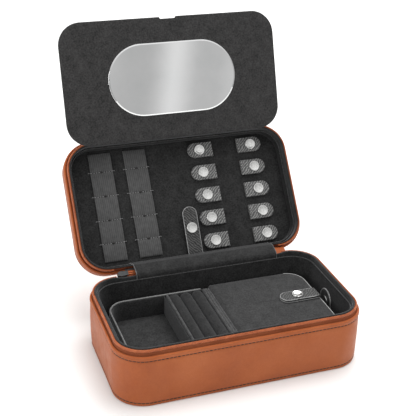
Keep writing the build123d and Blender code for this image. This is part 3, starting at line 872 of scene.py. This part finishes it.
def crossing(lines, x_range, thickness, name, material, nodes, slot, ripples):
    """Cloth over both creases as two pieces that meet on the spine."""
    for part, line in enumerate(lines):
        form = cloth(line, x_range, thickness, ripple=ripples[part], seed=part * 2.3)
        piece = form.make(f"{name}_{part + 1}", material, None, nodes[part], slot, sharp=70)
        bend_across(piece)


def hinge_flap():
    """The velvet flap from the base's lining over both lips and down the lid's lining, with hems in a lighter
    velvet that is a painted highlight.
    """
    points = [
        in_case(BASE, 7.2, -6.0), (59.25, 53.2), (59.5, 55.6), (60.7, 57.6), (63.0, 58.9), (66.0, 59.9),
        (69.0, 60.7), (71.8, 61.2), in_case(LID, 5.3, 0.95), in_case(LID, 5.82, 0.2), in_case(LID, 5.9, -1.5),
        in_case(LID, 5.9, -3.5), in_case(LID, 5.92, -5.2), in_case(LID, 6.25, -6.05),
        in_case(LID, 6.95, -6.4), in_case(LID, 7.5, -7.3), in_case(LID, 7.75, -9.0), in_case(LID, 7.8, -13.0),
        in_case(LID, 8.0, -16.2),
    ]
    middle = (68.0, 60.4)
    lines = halves(smooth_line(points, 0.7), middle)
    nodes = (["base_flap"], ["lid_flap", "hinge_flap"])
    crossing(lines, FLAP_RANGE, 0.8, "flap", FLAP_VELVET, nodes, "velvet", (0.35, 0.12))
    for side, x in zip(("left", "right"), FLAP_RANGE):
        for part, line in enumerate(lines):
            form = Form()
            form.tube([(x, *p) for p in line], 0.5)
            hem = form.make(f"flap_{side}_hem_{part + 1}", HEM_HIGHLIGHT, slot="velvet")
            bend_across(hem)


def hinge_skin(name, material, slot, above, thickness, x_range, nodes):
    """The hinge's leather, or the lining at a height above it."""
    crest = on_spine(SPINE_WIDTH / 2, above - 0.55)
    points = [
        in_case(BASE, 2.5 + above, -12.0), in_case(BASE, 2.3 + above, -8.0), in_case(BASE, 1.6 + above, -5.4),
        on_spine(0.0, above - 0.75), crest, on_spine(SPINE_WIDTH, above - 0.75),
        in_case(LID, 1.6 + above, -5.4), in_case(LID, 2.3 + above, -8.0), in_case(LID, 2.5 + above, -11.5),
    ]
    lines = halves(smooth_line(points, 0.8), crest)
    crossing(lines, x_range, thickness, name, material, ([], nodes), slot, (0.12, 0.12))


def hinge_zip():
    """The closed stretch of zip on the hinge: its tape and two strands of teeth."""
    line = [Vector(on_spine(0.5 + (SPINE_WIDTH - 1) * i / 6, 0.45)) for i in range(7)]
    cloth(line, ZIP_RANGE, 0.5).make("hinge_tape", TAPE, "spine", slot="zip_tape")
    form = Form()
    for side in (-1.0, 1.0):
        rows, flats = [], []
        for i in range(round((ZIP_RANGE[1] - ZIP_RANGE[0]) / COIL_STEP) + 1):
            x = ZIP_RANGE[0] + i * COIL_STEP
            row, flat = [], []
            for j in range(9):
                a = 2 * math.pi * j / 8
                ridge = coil_ridge(x, side * (0.9 * math.cos(a) + 1.2))
                y = SPINE_WIDTH / 2 + side + 0.85 * ridge * math.cos(a)
                row.append(SPINE @ Vector((x, y, 1.2 + 0.62 * ridge * math.sin(a))))
                flat.append((x, j * 0.6))
            rows.append(row)
            flats.append(flat)
        form.bar(rows, flats)
    form.make("hinge_strands", COIL, "spine", ["hinge_zip"], "zip_coil", sharp=75)


hinge_flap()
hinge_skin("hinge_skin", TAN, "tan_leather", 0.0, 0.8, SKIN_RANGE, ["hinge_leather"])
hinge_skin("hinge_lining", LINER_VELVET, "velvet", 0.62, 0.4, SKIN_LINING_RANGE, [])
hinge_zip()


# Slider and pull

SLIDER = strap_matrix(SPINE, (-78.5, SPINE_WIDTH / 2, 0), (1, 0, 0))
PULL = strap_matrix(SLIDER, (0, 0, -4.1), (0, 0, -1), (1, 0, 0))


def zip_slider():
    """Two plates with side flanges, a neck between them and a bail under them for the pull."""
    form = Form()
    plate = [(-5.3, -1.6), (-2.65, -3.2), (5.3, -2.4), (5.3, 2.4), (-2.65, 3.2), (-5.3, 1.6)]
    for low in (-2.2, 1.1):
        pillow(form, SLIDER, divided(plate, 1.2), low, low + 1.1, 0.42, crown=0.12, under=0.12)
    for side in (-2.55, 2.55):
        flange = [(-2.4, side - 0.3), (5.0, side - 0.3), (5.0, side + 0.3), (-2.4, side + 0.3)]
        pillow(form, SLIDER, flange, -1.4, -0.9, 0.12)
    pillow(form, SLIDER, box(-4.4, -2.4, -0.8, 0.8, 0.5), -1.3, 1.3, 0.2)
    half_bail = [(0, -2.8, -1.8), (0, -2.85, -3.0), (0, -2.55, -3.9), (0, -1.8, -4.15)]
    bail = half_bail + [(x, -y, z) for x, y, z in reversed(half_bail)]
    form.tube(placed(SLIDER, bail), 0.5, 10)
    form.make("slider", GUNMETAL, "spine", ["zip_slider"], "slider_metal", sharp=35)


def zip_pull():
    """The tag, wider towards its round end, and its eye round the bail."""
    form = Form()
    tag = [(1.0, -1.5), (3.0, -1.6), (12.0, -2.1)] + arc((15.9, 0), 2.1, -70, 70, 8)
    tag += [(12.0, 2.1), (3.0, 1.6), (1.0, 1.5)]
    pillow(form, PULL, divided(tag, 1.2), -0.7, 0.7, 0.35, crown=0.1, under=0.1)
    eye_leaf = strap_matrix(PULL, (0, 0, 0), (1, 0, 0), (0, 1, 0))
    eye = [(0.6, -1.9), (0.15, -2.05), (0, -1.8), (0, 1.8), (0.15, 2.05), (0.6, 1.9), (0.6, -1.9)]
    sweep(form, eye_leaf, outline(arc((0, 0), 1.5, 0, 337.5, 15)), lambda x, y, run: eye)
    form.make("pull_tag", GUNMETAL, "pull", ["zip_pull"], "slider_metal", sharp=35)


zip_slider()
zip_pull()


# Straps and snaps

TAB_LENGTH, TAB_WIDTH, TAB_SNAP = 23.7, 15.3, 11.4
TAB_CREASES = ((37.1, -1), (70.7, 1))
TAB_FIRST, TAB_STEP = -47.6, 23.9
SNAP_SECTION = [
    (5.4, 0.0), (5.5, 0.35), (5.52, 0.75), (5.46, 1.05), (5.34, 1.25), (5.12, 1.36), (4.8, 1.33), (4.2, 1.13),
    (3.4, 0.9), (2.4, 0.72), (1.4, 0.62), (0.5, 0.59),
]
PANEL_STRAP_LENGTH, PANEL_STRAP_WIDTH, PANEL_STRAP_SNAP = 47.6, 15.0, 26.0
TRAY_STRAP_LENGTH, TRAY_STRAP_SNAP = 35.6, 18.2
SIDE_STRAP_LENGTH, SIDE_STRAP_WIDTH = 25.0, 22.0


def snap_cap(leaf, place, low, name, body, nodes=()):
    """A snap cap on a strap: a round edge and a shallow dish inside it."""
    rows, flats = [], []
    for i in range(36):
        a = 2 * math.pi * i / 36
        column = [(place + r * math.cos(a), r * math.sin(a), low + h) for r, h in SNAP_SECTION]
        rows.append(placed(leaf, column))
        flats.append([(i * 0.8, r) for r, _ in SNAP_SECTION])
    form = Form()
    form.grid(rows, flats + [[(28.8, r) for r, _ in SNAP_SECTION]], wrap=True)
    for j in (-1, 0):
        form.face([row[j] for row in rows], [flat[j] for flat in flats])
    form.make(name, SNAP, body, nodes, "snap_metal")


def edge_bead(leaf, polygon, height, radius, name, body, bend=as_it_is):
    """An edge-painted bead round a strap, left open at its root; its light grey is partly edge paint and
    partly a painted highlight.
    """
    root, half = min(x for x, _ in polygon), max(y for _, y in polygon)
    path = [
        Vector((x - radius * 0.6 * mx, y - radius * 0.6 * my, height))
        for x, y, mx, my, _ in outline(polygon) if x > root + 0.01 or abs(y) > half - 0.01
    ]
    form = Form()
    form.tube([leaf @ bend(p) for p in opened(path)], radius, 6)
    form.make(name, STRAP_EDGE_PAINT_AND_HIGHLIGHT, body, slot="black_leather")


def drooping(tip, snap):
    """Bends a strap a little down from its snap towards its tip."""

    def bend(p):
        past = max(p.x / snap - 1, 0.0)
        return Vector((p.x, p.y, p.z - tip * past**2))

    return bend


def sewn_layer(leaf, length, width, snap):
    """The lower layer of a snap strap, with the snap's stud and the sewn root of the upper layer."""
    form = Form()
    pillow(form, leaf, tongue(-3.0, length, width), 0.02, 1.2, 0.45, crown=0.05)
    stud = [(snap + 1.8 * math.cos(i * math.pi / 8), 1.8 * math.sin(i * math.pi / 8)) for i in range(16)]
    pillow(form, leaf, stud, 1.1, 1.75, 0.2)
    pillow(form, leaf, box(-3.0, 0.75, -width / 2, width / 2, 1.5), 1.1, 3.27, 0.55)
    return form


def upper_layer(leaf, length, width, snap, seed):
    """The lifting layer of a snap strap, and its bend."""
    form = Form()
    bend = drooping(0.35 + 0.25 * random.Random(seed).random(), snap)
    pillow(form, leaf, tongue(0.1, length, width), 2.1, 3.3, 0.5, crown=0.1, bend=bend)
    return form, bend


def necklace_tabs():
    """Ten snap tabs in two columns that point away from each other."""
    layers = Form()
    for number in range(1, 11):
        crease, heading = TAB_CREASES[(number - 1) // 5]
        place = (crease, TAB_FIRST + TAB_STEP * ((number - 1) % 5), LID_FLOOR)
        leaf = strap_matrix(LID, place, (heading, 0, 0))
        layers.add(sewn_layer(leaf, TAB_LENGTH, TAB_WIDTH, TAB_SNAP))
        tab, _ = upper_layer(leaf, TAB_LENGTH, TAB_WIDTH, TAB_SNAP, number)
        body, nodes = f"tab_{number}", [f"necklace_tab_{number}"]
        tab.make(f"tab_{number}_leather", BLACK_LEATHER, body, nodes, "black_leather")
        snap_cap(leaf, TAB_SNAP, 3.3, f"tab_{number}_cap", body)
    layers.make("tab_layers", BLACK_LEATHER, "lid", ["tab_bases"], "black_leather")


def panel_strap():
    """The strap on the lid's floor that holds the folded mirror panel."""
    slope = math.radians(4.0)
    along, away = (0, math.cos(slope), math.sin(slope)), (0, -math.sin(slope), math.cos(slope))
    leaf = strap_matrix(LID, (2.1, 6.4 - ZIP_HALF_DEPTH, LID_FLOOR + 3.0), along, away)
    form = Form()
    pillow(form, leaf, tongue(-0.7, PANEL_STRAP_LENGTH, PANEL_STRAP_WIDTH), 0.0, 1.2, 0.5, crown=0.15)
    form.make("panel_strap_leather", STRAP_LEATHER, "panel_strap", ["panel_strap"], "black_leather")
    edge = tongue(-0.6, PANEL_STRAP_LENGTH, PANEL_STRAP_WIDTH)
    edge_bead(leaf, edge, 0.85, 0.42, "panel_strap_edge", "panel_strap")
    snap_cap(leaf, PANEL_STRAP_SNAP, 1.2, "panel_strap_cap", "panel_strap", ["panel_strap_snap"])


def tray_strap():
    """The strap that the tray's lid is lifted by."""
    leaf = strap_matrix(WORLD, (95.4, 3.5, 38.5), (-1, 0, 0))
    sewn = sewn_layer(leaf, TRAY_STRAP_LENGTH, TAB_WIDTH, TRAY_STRAP_SNAP)
    sewn.make("tray_strap_layer", STRAP_LEATHER, "tray_lid", ["tray_strap_base"], "black_leather")
    top, bend = upper_layer(leaf, TRAY_STRAP_LENGTH, TAB_WIDTH, TRAY_STRAP_SNAP, 21)
    top.make("tray_strap_leather", STRAP_LEATHER, "tray_strap", ["tray_strap"], "black_leather")
    snap_cap(leaf, TRAY_STRAP_SNAP, 3.3, "tray_strap_cap", "tray_strap", ["tray_strap_snap"])
    lower, upper = (tongue(root, TRAY_STRAP_LENGTH, TAB_WIDTH) for root in (-2.8, 0.3))
    edge_bead(leaf, lower, 0.85, 0.42, "tray_strap_layer_edge", "tray_lid")
    edge_bead(leaf, upper, 3.0, 0.4, "tray_strap_edge", "tray_strap", bend)


def side_strap():
    """The broad strap that stands in the gap beside the tray."""
    leaf = strap_matrix(WORLD, (109.5, 3.5, 17.0), (0, 0, 1), (-1, 0, 0))
    half = SIDE_STRAP_WIDTH / 2
    form, root = Form(), Form()
    pillow(form, leaf, tongue(0.1, SIDE_STRAP_LENGTH, SIDE_STRAP_WIDTH), 0.4, 1.6, 0.5, crown=0.15)
    form.make("side_strap_leather", STRAP_LEATHER, "side_strap", ["side_strap"], "black_leather")
    edge = tongue(0.2, SIDE_STRAP_LENGTH, SIDE_STRAP_WIDTH)
    edge_bead(leaf, edge, 1.25, 0.7, "side_strap_edge", "side_strap")
    snap_cap(leaf, SIDE_STRAP_LENGTH / 2, 1.6, "side_strap_cap", "side_strap", ["side_strap_snap"])
    pillow(root, leaf, box(-5.0, 0.0, -half, half, 2.0), 0.05, 1.6, 0.5, crown=0.1)
    root.make("side_strap_seam", STRAP_LEATHER, "base", ["side_strap_root"], "black_leather")


necklace_tabs()
panel_strap()
tray_strap()
side_strap()


# Earring webbing

WEBBING_WIDTH = 23.0
WEBBING_ENDS = (-54.0, 56.0)
WEBBING_ROWS = [u - ZIP_HALF_DEPTH for u in (28.4, 51.7, 76.2, 101.0)]


def webbing_height(y):
    """How far the webbing arches off the floor between two stitched rows."""
    stops = [WEBBING_ENDS[0]] + WEBBING_ROWS + [WEBBING_ENDS[1]]
    for a, b in zip(stops, stops[1:]):
        if y <= b:
            return 0.5 + 1.3 * math.sin(math.pi * (y - a) / (b - a)) ** 0.5


def webbing_tape(number, middle):
    """The ribbed tape, from crosswise rings."""
    low, high = WEBBING_ENDS
    count_y, count_x = 140, 92
    rows, flats = [], []
    for i in range(count_y + 1):
        y = low + (high - low) * i / count_y
        arch = webbing_height(min(max(y, low + 1e-6), high - 1e-6))
        upper, under, flat = [], [], []
        for j in range(count_x + 1):
            x = WEBBING_WIDTH * (j / count_x - 0.5)
            rib = 0.05 * math.cos(2 * math.pi * x)
            drop = 0.25 * max(0.0, abs(x) - WEBBING_WIDTH / 2 + 1.2) ** 2
            z = arch + 0.12 * wave(x, y, size=9.0, seed=number)
            upper.append(LID @ Vector((middle + x, y, LID_FLOOR + z + 0.5 + rib - drop)))
            under.append(LID @ Vector((middle + x, y, LID_FLOOR + z - 0.5)))
            flat.append((y, x))
        rows.append(upper + under[::-1] + [upper[0]])
        flats.append(flat + flat[::-1] + [flat[0]])
    form = Form()
    form.bar(rows, flats)
    nodes = [f"earring_webbing_{number}"]
    return form.make(f"webbing_{number}", WEBBING, "lid", nodes, "webbing", sharp=60)


def webbing_row(threads, shade_stitches_and_knots, middle, y):
    """A stitched row: fine grey stitches with short black ones between them as painted shade, a loose thread
    at each end and a knot in the middle.
    """
    outward = LID.to_3x3() @ Vector((0, 0, 1))
    # The short black stitches are painted shade along the sewn row.
    for form, half, length, radius in ((threads, 11.7, 1.5, 0.34), (shade_stitches_and_knots, 10.4, 1.0, 0.4)):
        places = [-half + 2 * half * i / 16 for i in range(17)]
        line = [(middle + x, y + 0.12 * wave(x, y, size=2.0), LID_FLOOR + 1.35) for x in places]
        stitches(form, placed(LID, line), 2.6, length, radius, lambda p: outward)
    for side in (-1, 1):
        edge = middle + side * WEBBING_WIDTH / 2
        end = ((-0.8, 0.0, 1.25), (0.5, 0.2, 1.1), (1.5, 0.5, 0.6), (2.3, -0.1, 0.35))
        threads.tube(placed(LID, [(edge + side * a, y + b, LID_FLOOR + c) for a, b, c in end]), 0.26, 6)
    knot = ((-1.5, 0.0, 1.05), (-0.8, 0.15, 1.45), (0.0, 0.0, 1.6), (0.8, -0.15, 1.45), (1.5, 0.0, 1.05))
    path = placed(LID, [(middle + a, y + b, LID_FLOOR + c) for a, b, c in knot])
    shade_stitches_and_knots.tube(path, [0.3, 0.8, 1.05, 0.8, 0.3])


def earring_webbing(number, middle):
    """A webbing tape, sewn to the lid's floor in rows so that earrings hang between them."""
    piece = webbing_tape(number, middle)
    threads, shade_stitches_and_knots = Form(), Form()
    for y in WEBBING_ROWS:
        webbing_row(threads, shade_stitches_and_knots, middle, y)
    on_it = [
        threads.make(f"webbing_{number}_thread", GREY_THREAD, "lid", slot="webbing"),
        shade_stitches_and_knots.make(f"webbing_{number}_knots", BLACK_THREAD, "lid", slot="webbing"),
    ]


earring_webbing(1, -79.0)
earring_webbing(2, -43.0)


# Mirror panel

MIRROR_LENGTH, MIRROR_RADIUS = 131.6, 35.45
NOTCH_HALF, NOTCH_DEPTH, NOTCH_CORNER = 8.25, 1.8, 0.8


def notch():
    """The notch in the panel's top edge, from right to left."""
    top = PANEL_DEPTH / 2
    outer, inner = NOTCH_HALF + NOTCH_CORNER, NOTCH_HALF - NOTCH_CORNER
    points = arc((outer, top - NOTCH_CORNER), NOTCH_CORNER, 90, 180, 4)
    points += [(NOTCH_HALF, top - 1.0), (inner, top - NOTCH_DEPTH), (0.0, top - NOTCH_DEPTH)]
    points += [(-inner, top - NOTCH_DEPTH), (-NOTCH_HALF, top - 1.0)]
    return points + arc((-outer, top - NOTCH_CORNER), NOTCH_CORNER, 0, 90, 4)


def panel_board():
    """The panel's velvet board."""
    front_right, back_right, back_left, front_left = corner_arcs(PANEL_WIDTH, PANEL_DEPTH, PANEL_CORNER, 14)
    polygon = front_right + back_right + notch() + back_left + front_left
    form = Form()
    pillow(form, PANEL, divided(polygon, 4.0), -3.0, 0.0, 0.75, crown=0.15, under=0.3)
    form.make("panel_cloth", PANEL_VELVET, "mirror_panel", ["panel_board"], "velvet", sharp=60)


def panel_mirror():
    """Flat glass in a stadium's outline, with a bevelled edge."""
    middle = MIRROR_LENGTH / 2 - MIRROR_RADIUS
    stadium = arc((middle, 0), MIRROR_RADIUS, -90, 90, 40) + arc((-middle, 0), MIRROR_RADIUS, 90, 270, 40)
    rim = outline(divided(stadium, 4.0))
    leaf = strap_matrix(PANEL, (0, -0.3, 0), (1, 0, 0))
    edge = [(0.4, -0.1), (0.05, 0.0), (0.0, 0.12), (0.0, 0.5), (0.12, 0.62), (1.25, 0.98), (1.4, 1.0)]
    form = Form()
    sweep(form, leaf, rim, lambda x, y, run: edge)
    for inset, height in (edge[-1], edge[0]):
        form.face(rim_path(leaf, rim, inset, height), [(x, y) for x, y, *_ in rim])
    form.make("mirror", MIRROR, "mirror_panel", ["panel_mirror"], "mirror_glass", sharp=5)


def panel_hinge():
    """The cloth from the lid's lip to the panel's lower edge."""
    insets = ((4.5, 0.4), (5.0, 0.42), (5.45, 0.62), (5.75, 1.3), (6.05, 2.4))
    points = [in_case(LID, inset, height, far=True) for inset, height in insets]
    points += [p.yz for p in placed(PANEL, [(0, -59.8, -2.6), (0, -59.7, -0.9)])]
    line = smooth_line(points, 0.3)
    form = cloth(line, (-PANEL_HINGE_HALF, PANEL_HINGE_HALF), 0.4)
    piece = form.make("panel_hinge_cloth", LINER_VELVET, None, ["panel_hinge"], "velvet", sharp=70)
    bend_across(piece)


panel_board()
panel_mirror()
panel_hinge()


# Tray

TRAY_WIDTH, TRAY_DEPTH, TRAY_CORNER = 199.8, 101.0, 18.0
TRAY_FLOOR = 16.0
TRAY_INSIDE = 48.1
TRAY_RIM = outline(rounded(TRAY_WIDTH, TRAY_DEPTH, TRAY_CORNER, step=3.0, steps=20))
PARTITION_RIGHT, RAIL_LEFT, RAIL_RIGHT = -39.4, -4.2, 3.2
LID_UNDER, LID_UPPER = 36.3, 38.5


def tray_box():
    """The tray's soft-edged wall and its floor."""
    pairs = [
        (0.7, 5.5), (0.1, 5.9), (0.0, 7.0), (-0.15, 20.0), (0.0, 34.6), (0.35, 35.7), (1.2, 36.05),
        (2.05, 35.7), (2.4, 34.6), (2.55, 25.0), (2.5, 15.8), (2.4, 13.9), (2.3, 6.2), (1.9, 5.6), (0.7, 5.5),
    ]

    def profile(x, y, run):
        return [(inset + 0.12 * wave(run, height, size=18.0), height) for inset, height in pairs]

    form = Form()
    sweep(form, TRAY, TRAY_RIM, profile)
    bottom = rounded(TRAY_WIDTH - 4.6, TRAY_DEPTH - 4.6, TRAY_CORNER - 2.3)
    pillow(form, TRAY, bottom, TRAY_FLOOR - 2.0, TRAY_FLOOR, 0.5, crown=0.25)
    form.make("tray_box", TRAY_VELVET, "tray", ["tray_shell"], "tray_velvet", sharp=60)


def tray_cord():
    """The piping on the tray's rim, as far as the rail; its light grey is partly the cord's own and partly a
    painted highlight.
    """
    path = [p for p in rim_path(TRAY, TRAY_RIM, 1.15, 36.45) if p.x < -4.4]
    form = Form()
    form.tube(opened(path), 0.85, 12)
    form.make("tray_cord", PIPING_AND_HIGHLIGHT, "tray", ["tray_piping"], "tray_velvet", sharp=60)


def tray_partition():
    """The wall left of the rolls: thin board, a low lining and a thick padded wall against it, whose top is
    in a lighter velvet as painted light.
    """
    partition, top = Form(), Form()
    for form, left, right, high, edge in (
        (partition, -43.3, -42.7, 35.7, 0.25),
        (partition, -43.0, -41.0, 29.0, 0.3),
        (top, -41.4, -39.2, 37.0, 0.9),
    ):
        pillow(form, WORLD, box(left, right, -TRAY_INSIDE, TRAY_INSIDE, 4.0), 15.9, high, edge)
    partition.make("tray_partition", TRAY_VELVET, "tray", ["tray_divider"], "tray_velvet", sharp=60)
    top.make("tray_partition_top", RAIL_LIT_VELVET, "tray", slot="tray_velvet", sharp=60)


def ring_roll(number):
    """A padded roll for rings, with ends that pull in."""
    pitch = (43.0 - 3.6 - 4.2) / 3
    middle = PARTITION_RIGHT + (number - 0.5) * pitch
    radius = pitch / 2 + 0.05
    angles = [math.pi * k / 16 for k in range(17)]
    section = [(-radius, 16.2), (-radius, 24.0), (-radius, 30.2)]
    section += [(-radius * math.cos(a), 31.3 + radius * math.sin(a)) for a in angles]
    section += [(radius, 30.2), (radius, 24.0), (radius, 16.2), (-radius, 16.2)]
    rows, flats = [], []
    for i in range(49):
        y = -TRAY_INSIDE + 2 * TRAY_INSIDE * i / 48
        pull_in = 0.8 * math.exp(-min(y + TRAY_INSIDE, TRAY_INSIDE - y) / 2.5)
        row = []
        for x, z in section:
            soft, shrink = 0.0, 0.0
            if z > 30:
                soft, shrink = 0.16 * wave(y, x, (number - 1) * 7.0, size=11.0), pull_in
            row.append(Vector((middle + x * (1 - 0.05 * shrink), y, z + soft - shrink)))
        rows.append(row)
        flats.append([(y, j * 1.1) for j in range(len(section))])
    form = Form()
    form.bar(rows, flats)
    nodes = [f"ring_roll_{number}"]
    form.make(f"roll_{number}", ROLL_VELVET, "tray", nodes, "tray_velvet", sharp=60)


def tray_rail():
    """The padded rail between the rolls and the lid, in three soft ridges, in a lighter velvet as painted
    light.
    """
    form = Form()
    pillow(form, WORLD, box(RAIL_LEFT, RAIL_RIGHT, -TRAY_INSIDE, TRAY_INSIDE, 3.7), TRAY_FLOOR, 36.0, 0.8)
    for x, radius in ((-3.0, 1.2), (-0.5, 1.5), (2.0, 1.2)):
        lift = 36.9 - radius
        places = [(i, -TRAY_INSIDE + 2 * TRAY_INSIDE * i / 24) for i in range(25)]
        form.tube([(x, y, lift + 0.1 * wave(i, x, size=3.0)) for i, y in places], radius, 12)
    form.make("tray_rail", RAIL_LIT_VELVET, "tray", ["tray_bar"], "tray_velvet", sharp=60)


def tray_lid():
    """The lid of the covered compartment, with a piping bead round its right end whose light grey is a
    painted highlight.
    """
    right, deep = TRAY_WIDTH / 2 - 1.3, TRAY_DEPTH / 2
    middle = right - TRAY_CORNER
    polygon = [(4.2, -deep)] + arc((middle, TRAY_CORNER - deep), TRAY_CORNER, -90, 0, 14)
    polygon += arc((middle, deep - TRAY_CORNER), TRAY_CORNER, 0, 90, 14) + [(4.2, deep)]
    form, edge = Form(), Form()
    pillow(form, WORLD, divided(polygon, 4.0), LID_UNDER, LID_UPPER, 0.8, crown=0.2, under=0.1)
    form.make("tray_flap", TRAY_VELVET, "tray_lid", ["tray_lid"], "tray_velvet", sharp=60)
    rim = [p for p in outline(divided(polygon, 3.0)) if p[0] > middle]
    edge.tube(rim_path(WORLD, rim, 0.25, 38.05), 0.6)
    edge.make("tray_flap_edge", CORD_EDGE_HIGHLIGHT, "tray_lid", slot="tray_velvet")


def tray_fold():
    """The fold of cloth that the tray's lid turns on, from the rail to the lid."""
    across = leaf_matrix(Vector(), Vector((0, 1, 0)), Vector((-1, 0, 0)), Vector((0, 0, 1)))
    line = smooth_line([(-2.6, 36.6), (-3.1, 37.35), (-3.7, 37.9), (-4.5, 38.45), (-5.6, 38.72)], 0.4)
    form = cloth(line, (-50.0, 50.0), 0.45, leaf=across)
    piece = form.make("tray_flap_fold", TRAY_VELVET, None, slot="tray_velvet", sharp=70)
    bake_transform(piece)


tray_box()
tray_cord()
tray_partition()
for number in (1, 2, 3):
    ring_roll(number)
tray_rail()
tray_lid()
tray_fold()


# CAD nodes that show as they are

for node, material in (
    ("base_bottom_leather", TAN), ("base_board", BOARD), ("lid_board", BOARD), ("panel_stud", SNAP),
):
    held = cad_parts[node].data.materials
    held.clear()
    held.append(material)


# Floor, light and camera

SKY_STOPS = (
    (0.3, 0.4), (0.575, 0.61), (0.588, 0.51), (0.601, 0.515), (0.606, 0.61), (0.6125, 0.83), (0.6156, 0.83),
    (0.6214, 0.66), (0.626, 0.55), (0.637, 0.555), (0.645, 0.64), (0.95, 0.42),
)
SKY_LEAN = -0.2025


def paper_floor():
    """A wide pale floor."""
    places = (-5000, 0, 5000)
    flats = [[(x, y) for y in places] for x in places]
    form = Form()
    form.grid([[Vector((x, y, 0.0)) for x, y in row] for row in flats], flats)
    paper = Material("paper", Roughness=0.9)
    paper.ramp(paper.noise(400.0), [(0.3, linear((238, 238, 237))), (0.7, linear((242, 242, 241)))])
    form.make("floor", paper.made)


def studio_sky():
    """A grey studio with a bright leaning strip for the mirror to catch, and a white ceiling."""
    world = bpy.data.worlds.new("studio")
    bpy.context.scene.world = world
    world.use_nodes = True
    nodes, link = world.node_tree.nodes, world.node_tree.links.new
    where = nodes.new("ShaderNodeTexCoord")
    parts = nodes.new("ShaderNodeSeparateXYZ")
    link(where.outputs["Generated"], parts.inputs[0])

    lean = nodes.new("ShaderNodeMath")
    lean.operation = "MULTIPLY_ADD"
    lean.inputs[1].default_value = SKY_LEAN
    link(parts.outputs["Z"], lean.inputs[0])
    link(parts.outputs["X"], lean.inputs[2])
    across = nodes.new("ShaderNodeMapRange")
    across.inputs["From Min"].default_value = -1.0
    link(lean.outputs["Value"], across.inputs["Value"])
    walls = nodes.new("ShaderNodeValToRGB")
    elements = walls.color_ramp.elements
    while len(elements) < len(SKY_STOPS):
        elements.new(0.5)
    for element, (place, grey) in zip(elements, SKY_STOPS):
        element.position = place
        element.color = (grey, grey, grey, 1)
    link(across.outputs["Result"], walls.inputs["Fac"])

    overhead = nodes.new("ShaderNodeMapRange")
    for socket, value in (("From Min", 0.33), ("From Max", 0.92), ("To Max", 1.0)):
        overhead.inputs[socket].default_value = value
    link(parts.outputs["Z"], overhead.inputs["Value"])
    ceiling = nodes.new("ShaderNodeMix")
    ceiling.data_type = "RGBA"
    factor, first, second = ceiling.inputs[0], ceiling.inputs[6], ceiling.inputs[7]
    second.default_value = (1.05, 1.05, 1.05, 1)
    link(overhead.outputs["Result"], factor)
    link(walls.outputs["Color"], first)
    link(ceiling.outputs[2], nodes["Background"].inputs["Color"])
    nodes["Background"].inputs["Strength"].default_value = 1.0


def linked(name, data):
    """A new object of some data in the scene."""
    made = bpy.data.objects.new(name, data)
    bpy.context.scene.collection.objects.link(made)
    made.rotation_mode = "QUATERNION"
    return made


def softbox(name, place, target, width, height, watts):
    """A rectangular studio light that faces a target. Its places and sizes are metres."""
    light = bpy.data.lights.new(name, "AREA")
    light.shape = "RECTANGLE"
    light.size, light.size_y, light.energy = width, height, watts
    made = linked(name, light)
    made.location = place
    made.rotation_quaternion = (Vector(target) - Vector(place)).to_track_quat("-Z", "Y")


def key_light():
    """A broad soft light from overhead that the gloss doesn't show."""
    sun = bpy.data.lights.new("key", "SUN")
    sun.energy, sun.angle = 1.7, math.radians(42)
    made = linked("key", sun)
    made.rotation_quaternion = Vector((0.25, 0.12, 0.95)).to_track_quat("Z", "Y")
    made.visible_glossy = False


def viewer():
    """The camera, from the front left and above, with a slight roll."""
    camera = bpy.data.cameras.new("camera")
    camera.lens, camera.sensor_width = 81.07, 36.0
    camera.clip_start, camera.clip_end = 0.05, 20.0
    made = linked("camera", camera)
    ahead = Vector((0.3080, 0.8444, -0.4383)).normalized()
    roll = math.radians(1.417)
    level = ahead.cross(Vector((0, 0, 1))).normalized()
    right = level * math.cos(roll) + level.cross(ahead) * math.sin(roll)
    made.matrix_world = leaf_matrix(Vector((-0.27159, -0.69551, 0.51072)), right, right.cross(ahead), -ahead)
    bpy.context.scene.camera = made


paper_floor()
studio_sky()
softbox("left", (-1.5, -0.35, 0.55), (0, 0, 0.05), 0.9, 0.7, 7)
softbox("back", (0.5, 0.95, 1.3), (0, 0.02, 0.05), 0.8, 0.35, 9)
key_light()
viewer()
bpy.context.scene.view_settings.view_transform = "Standard"
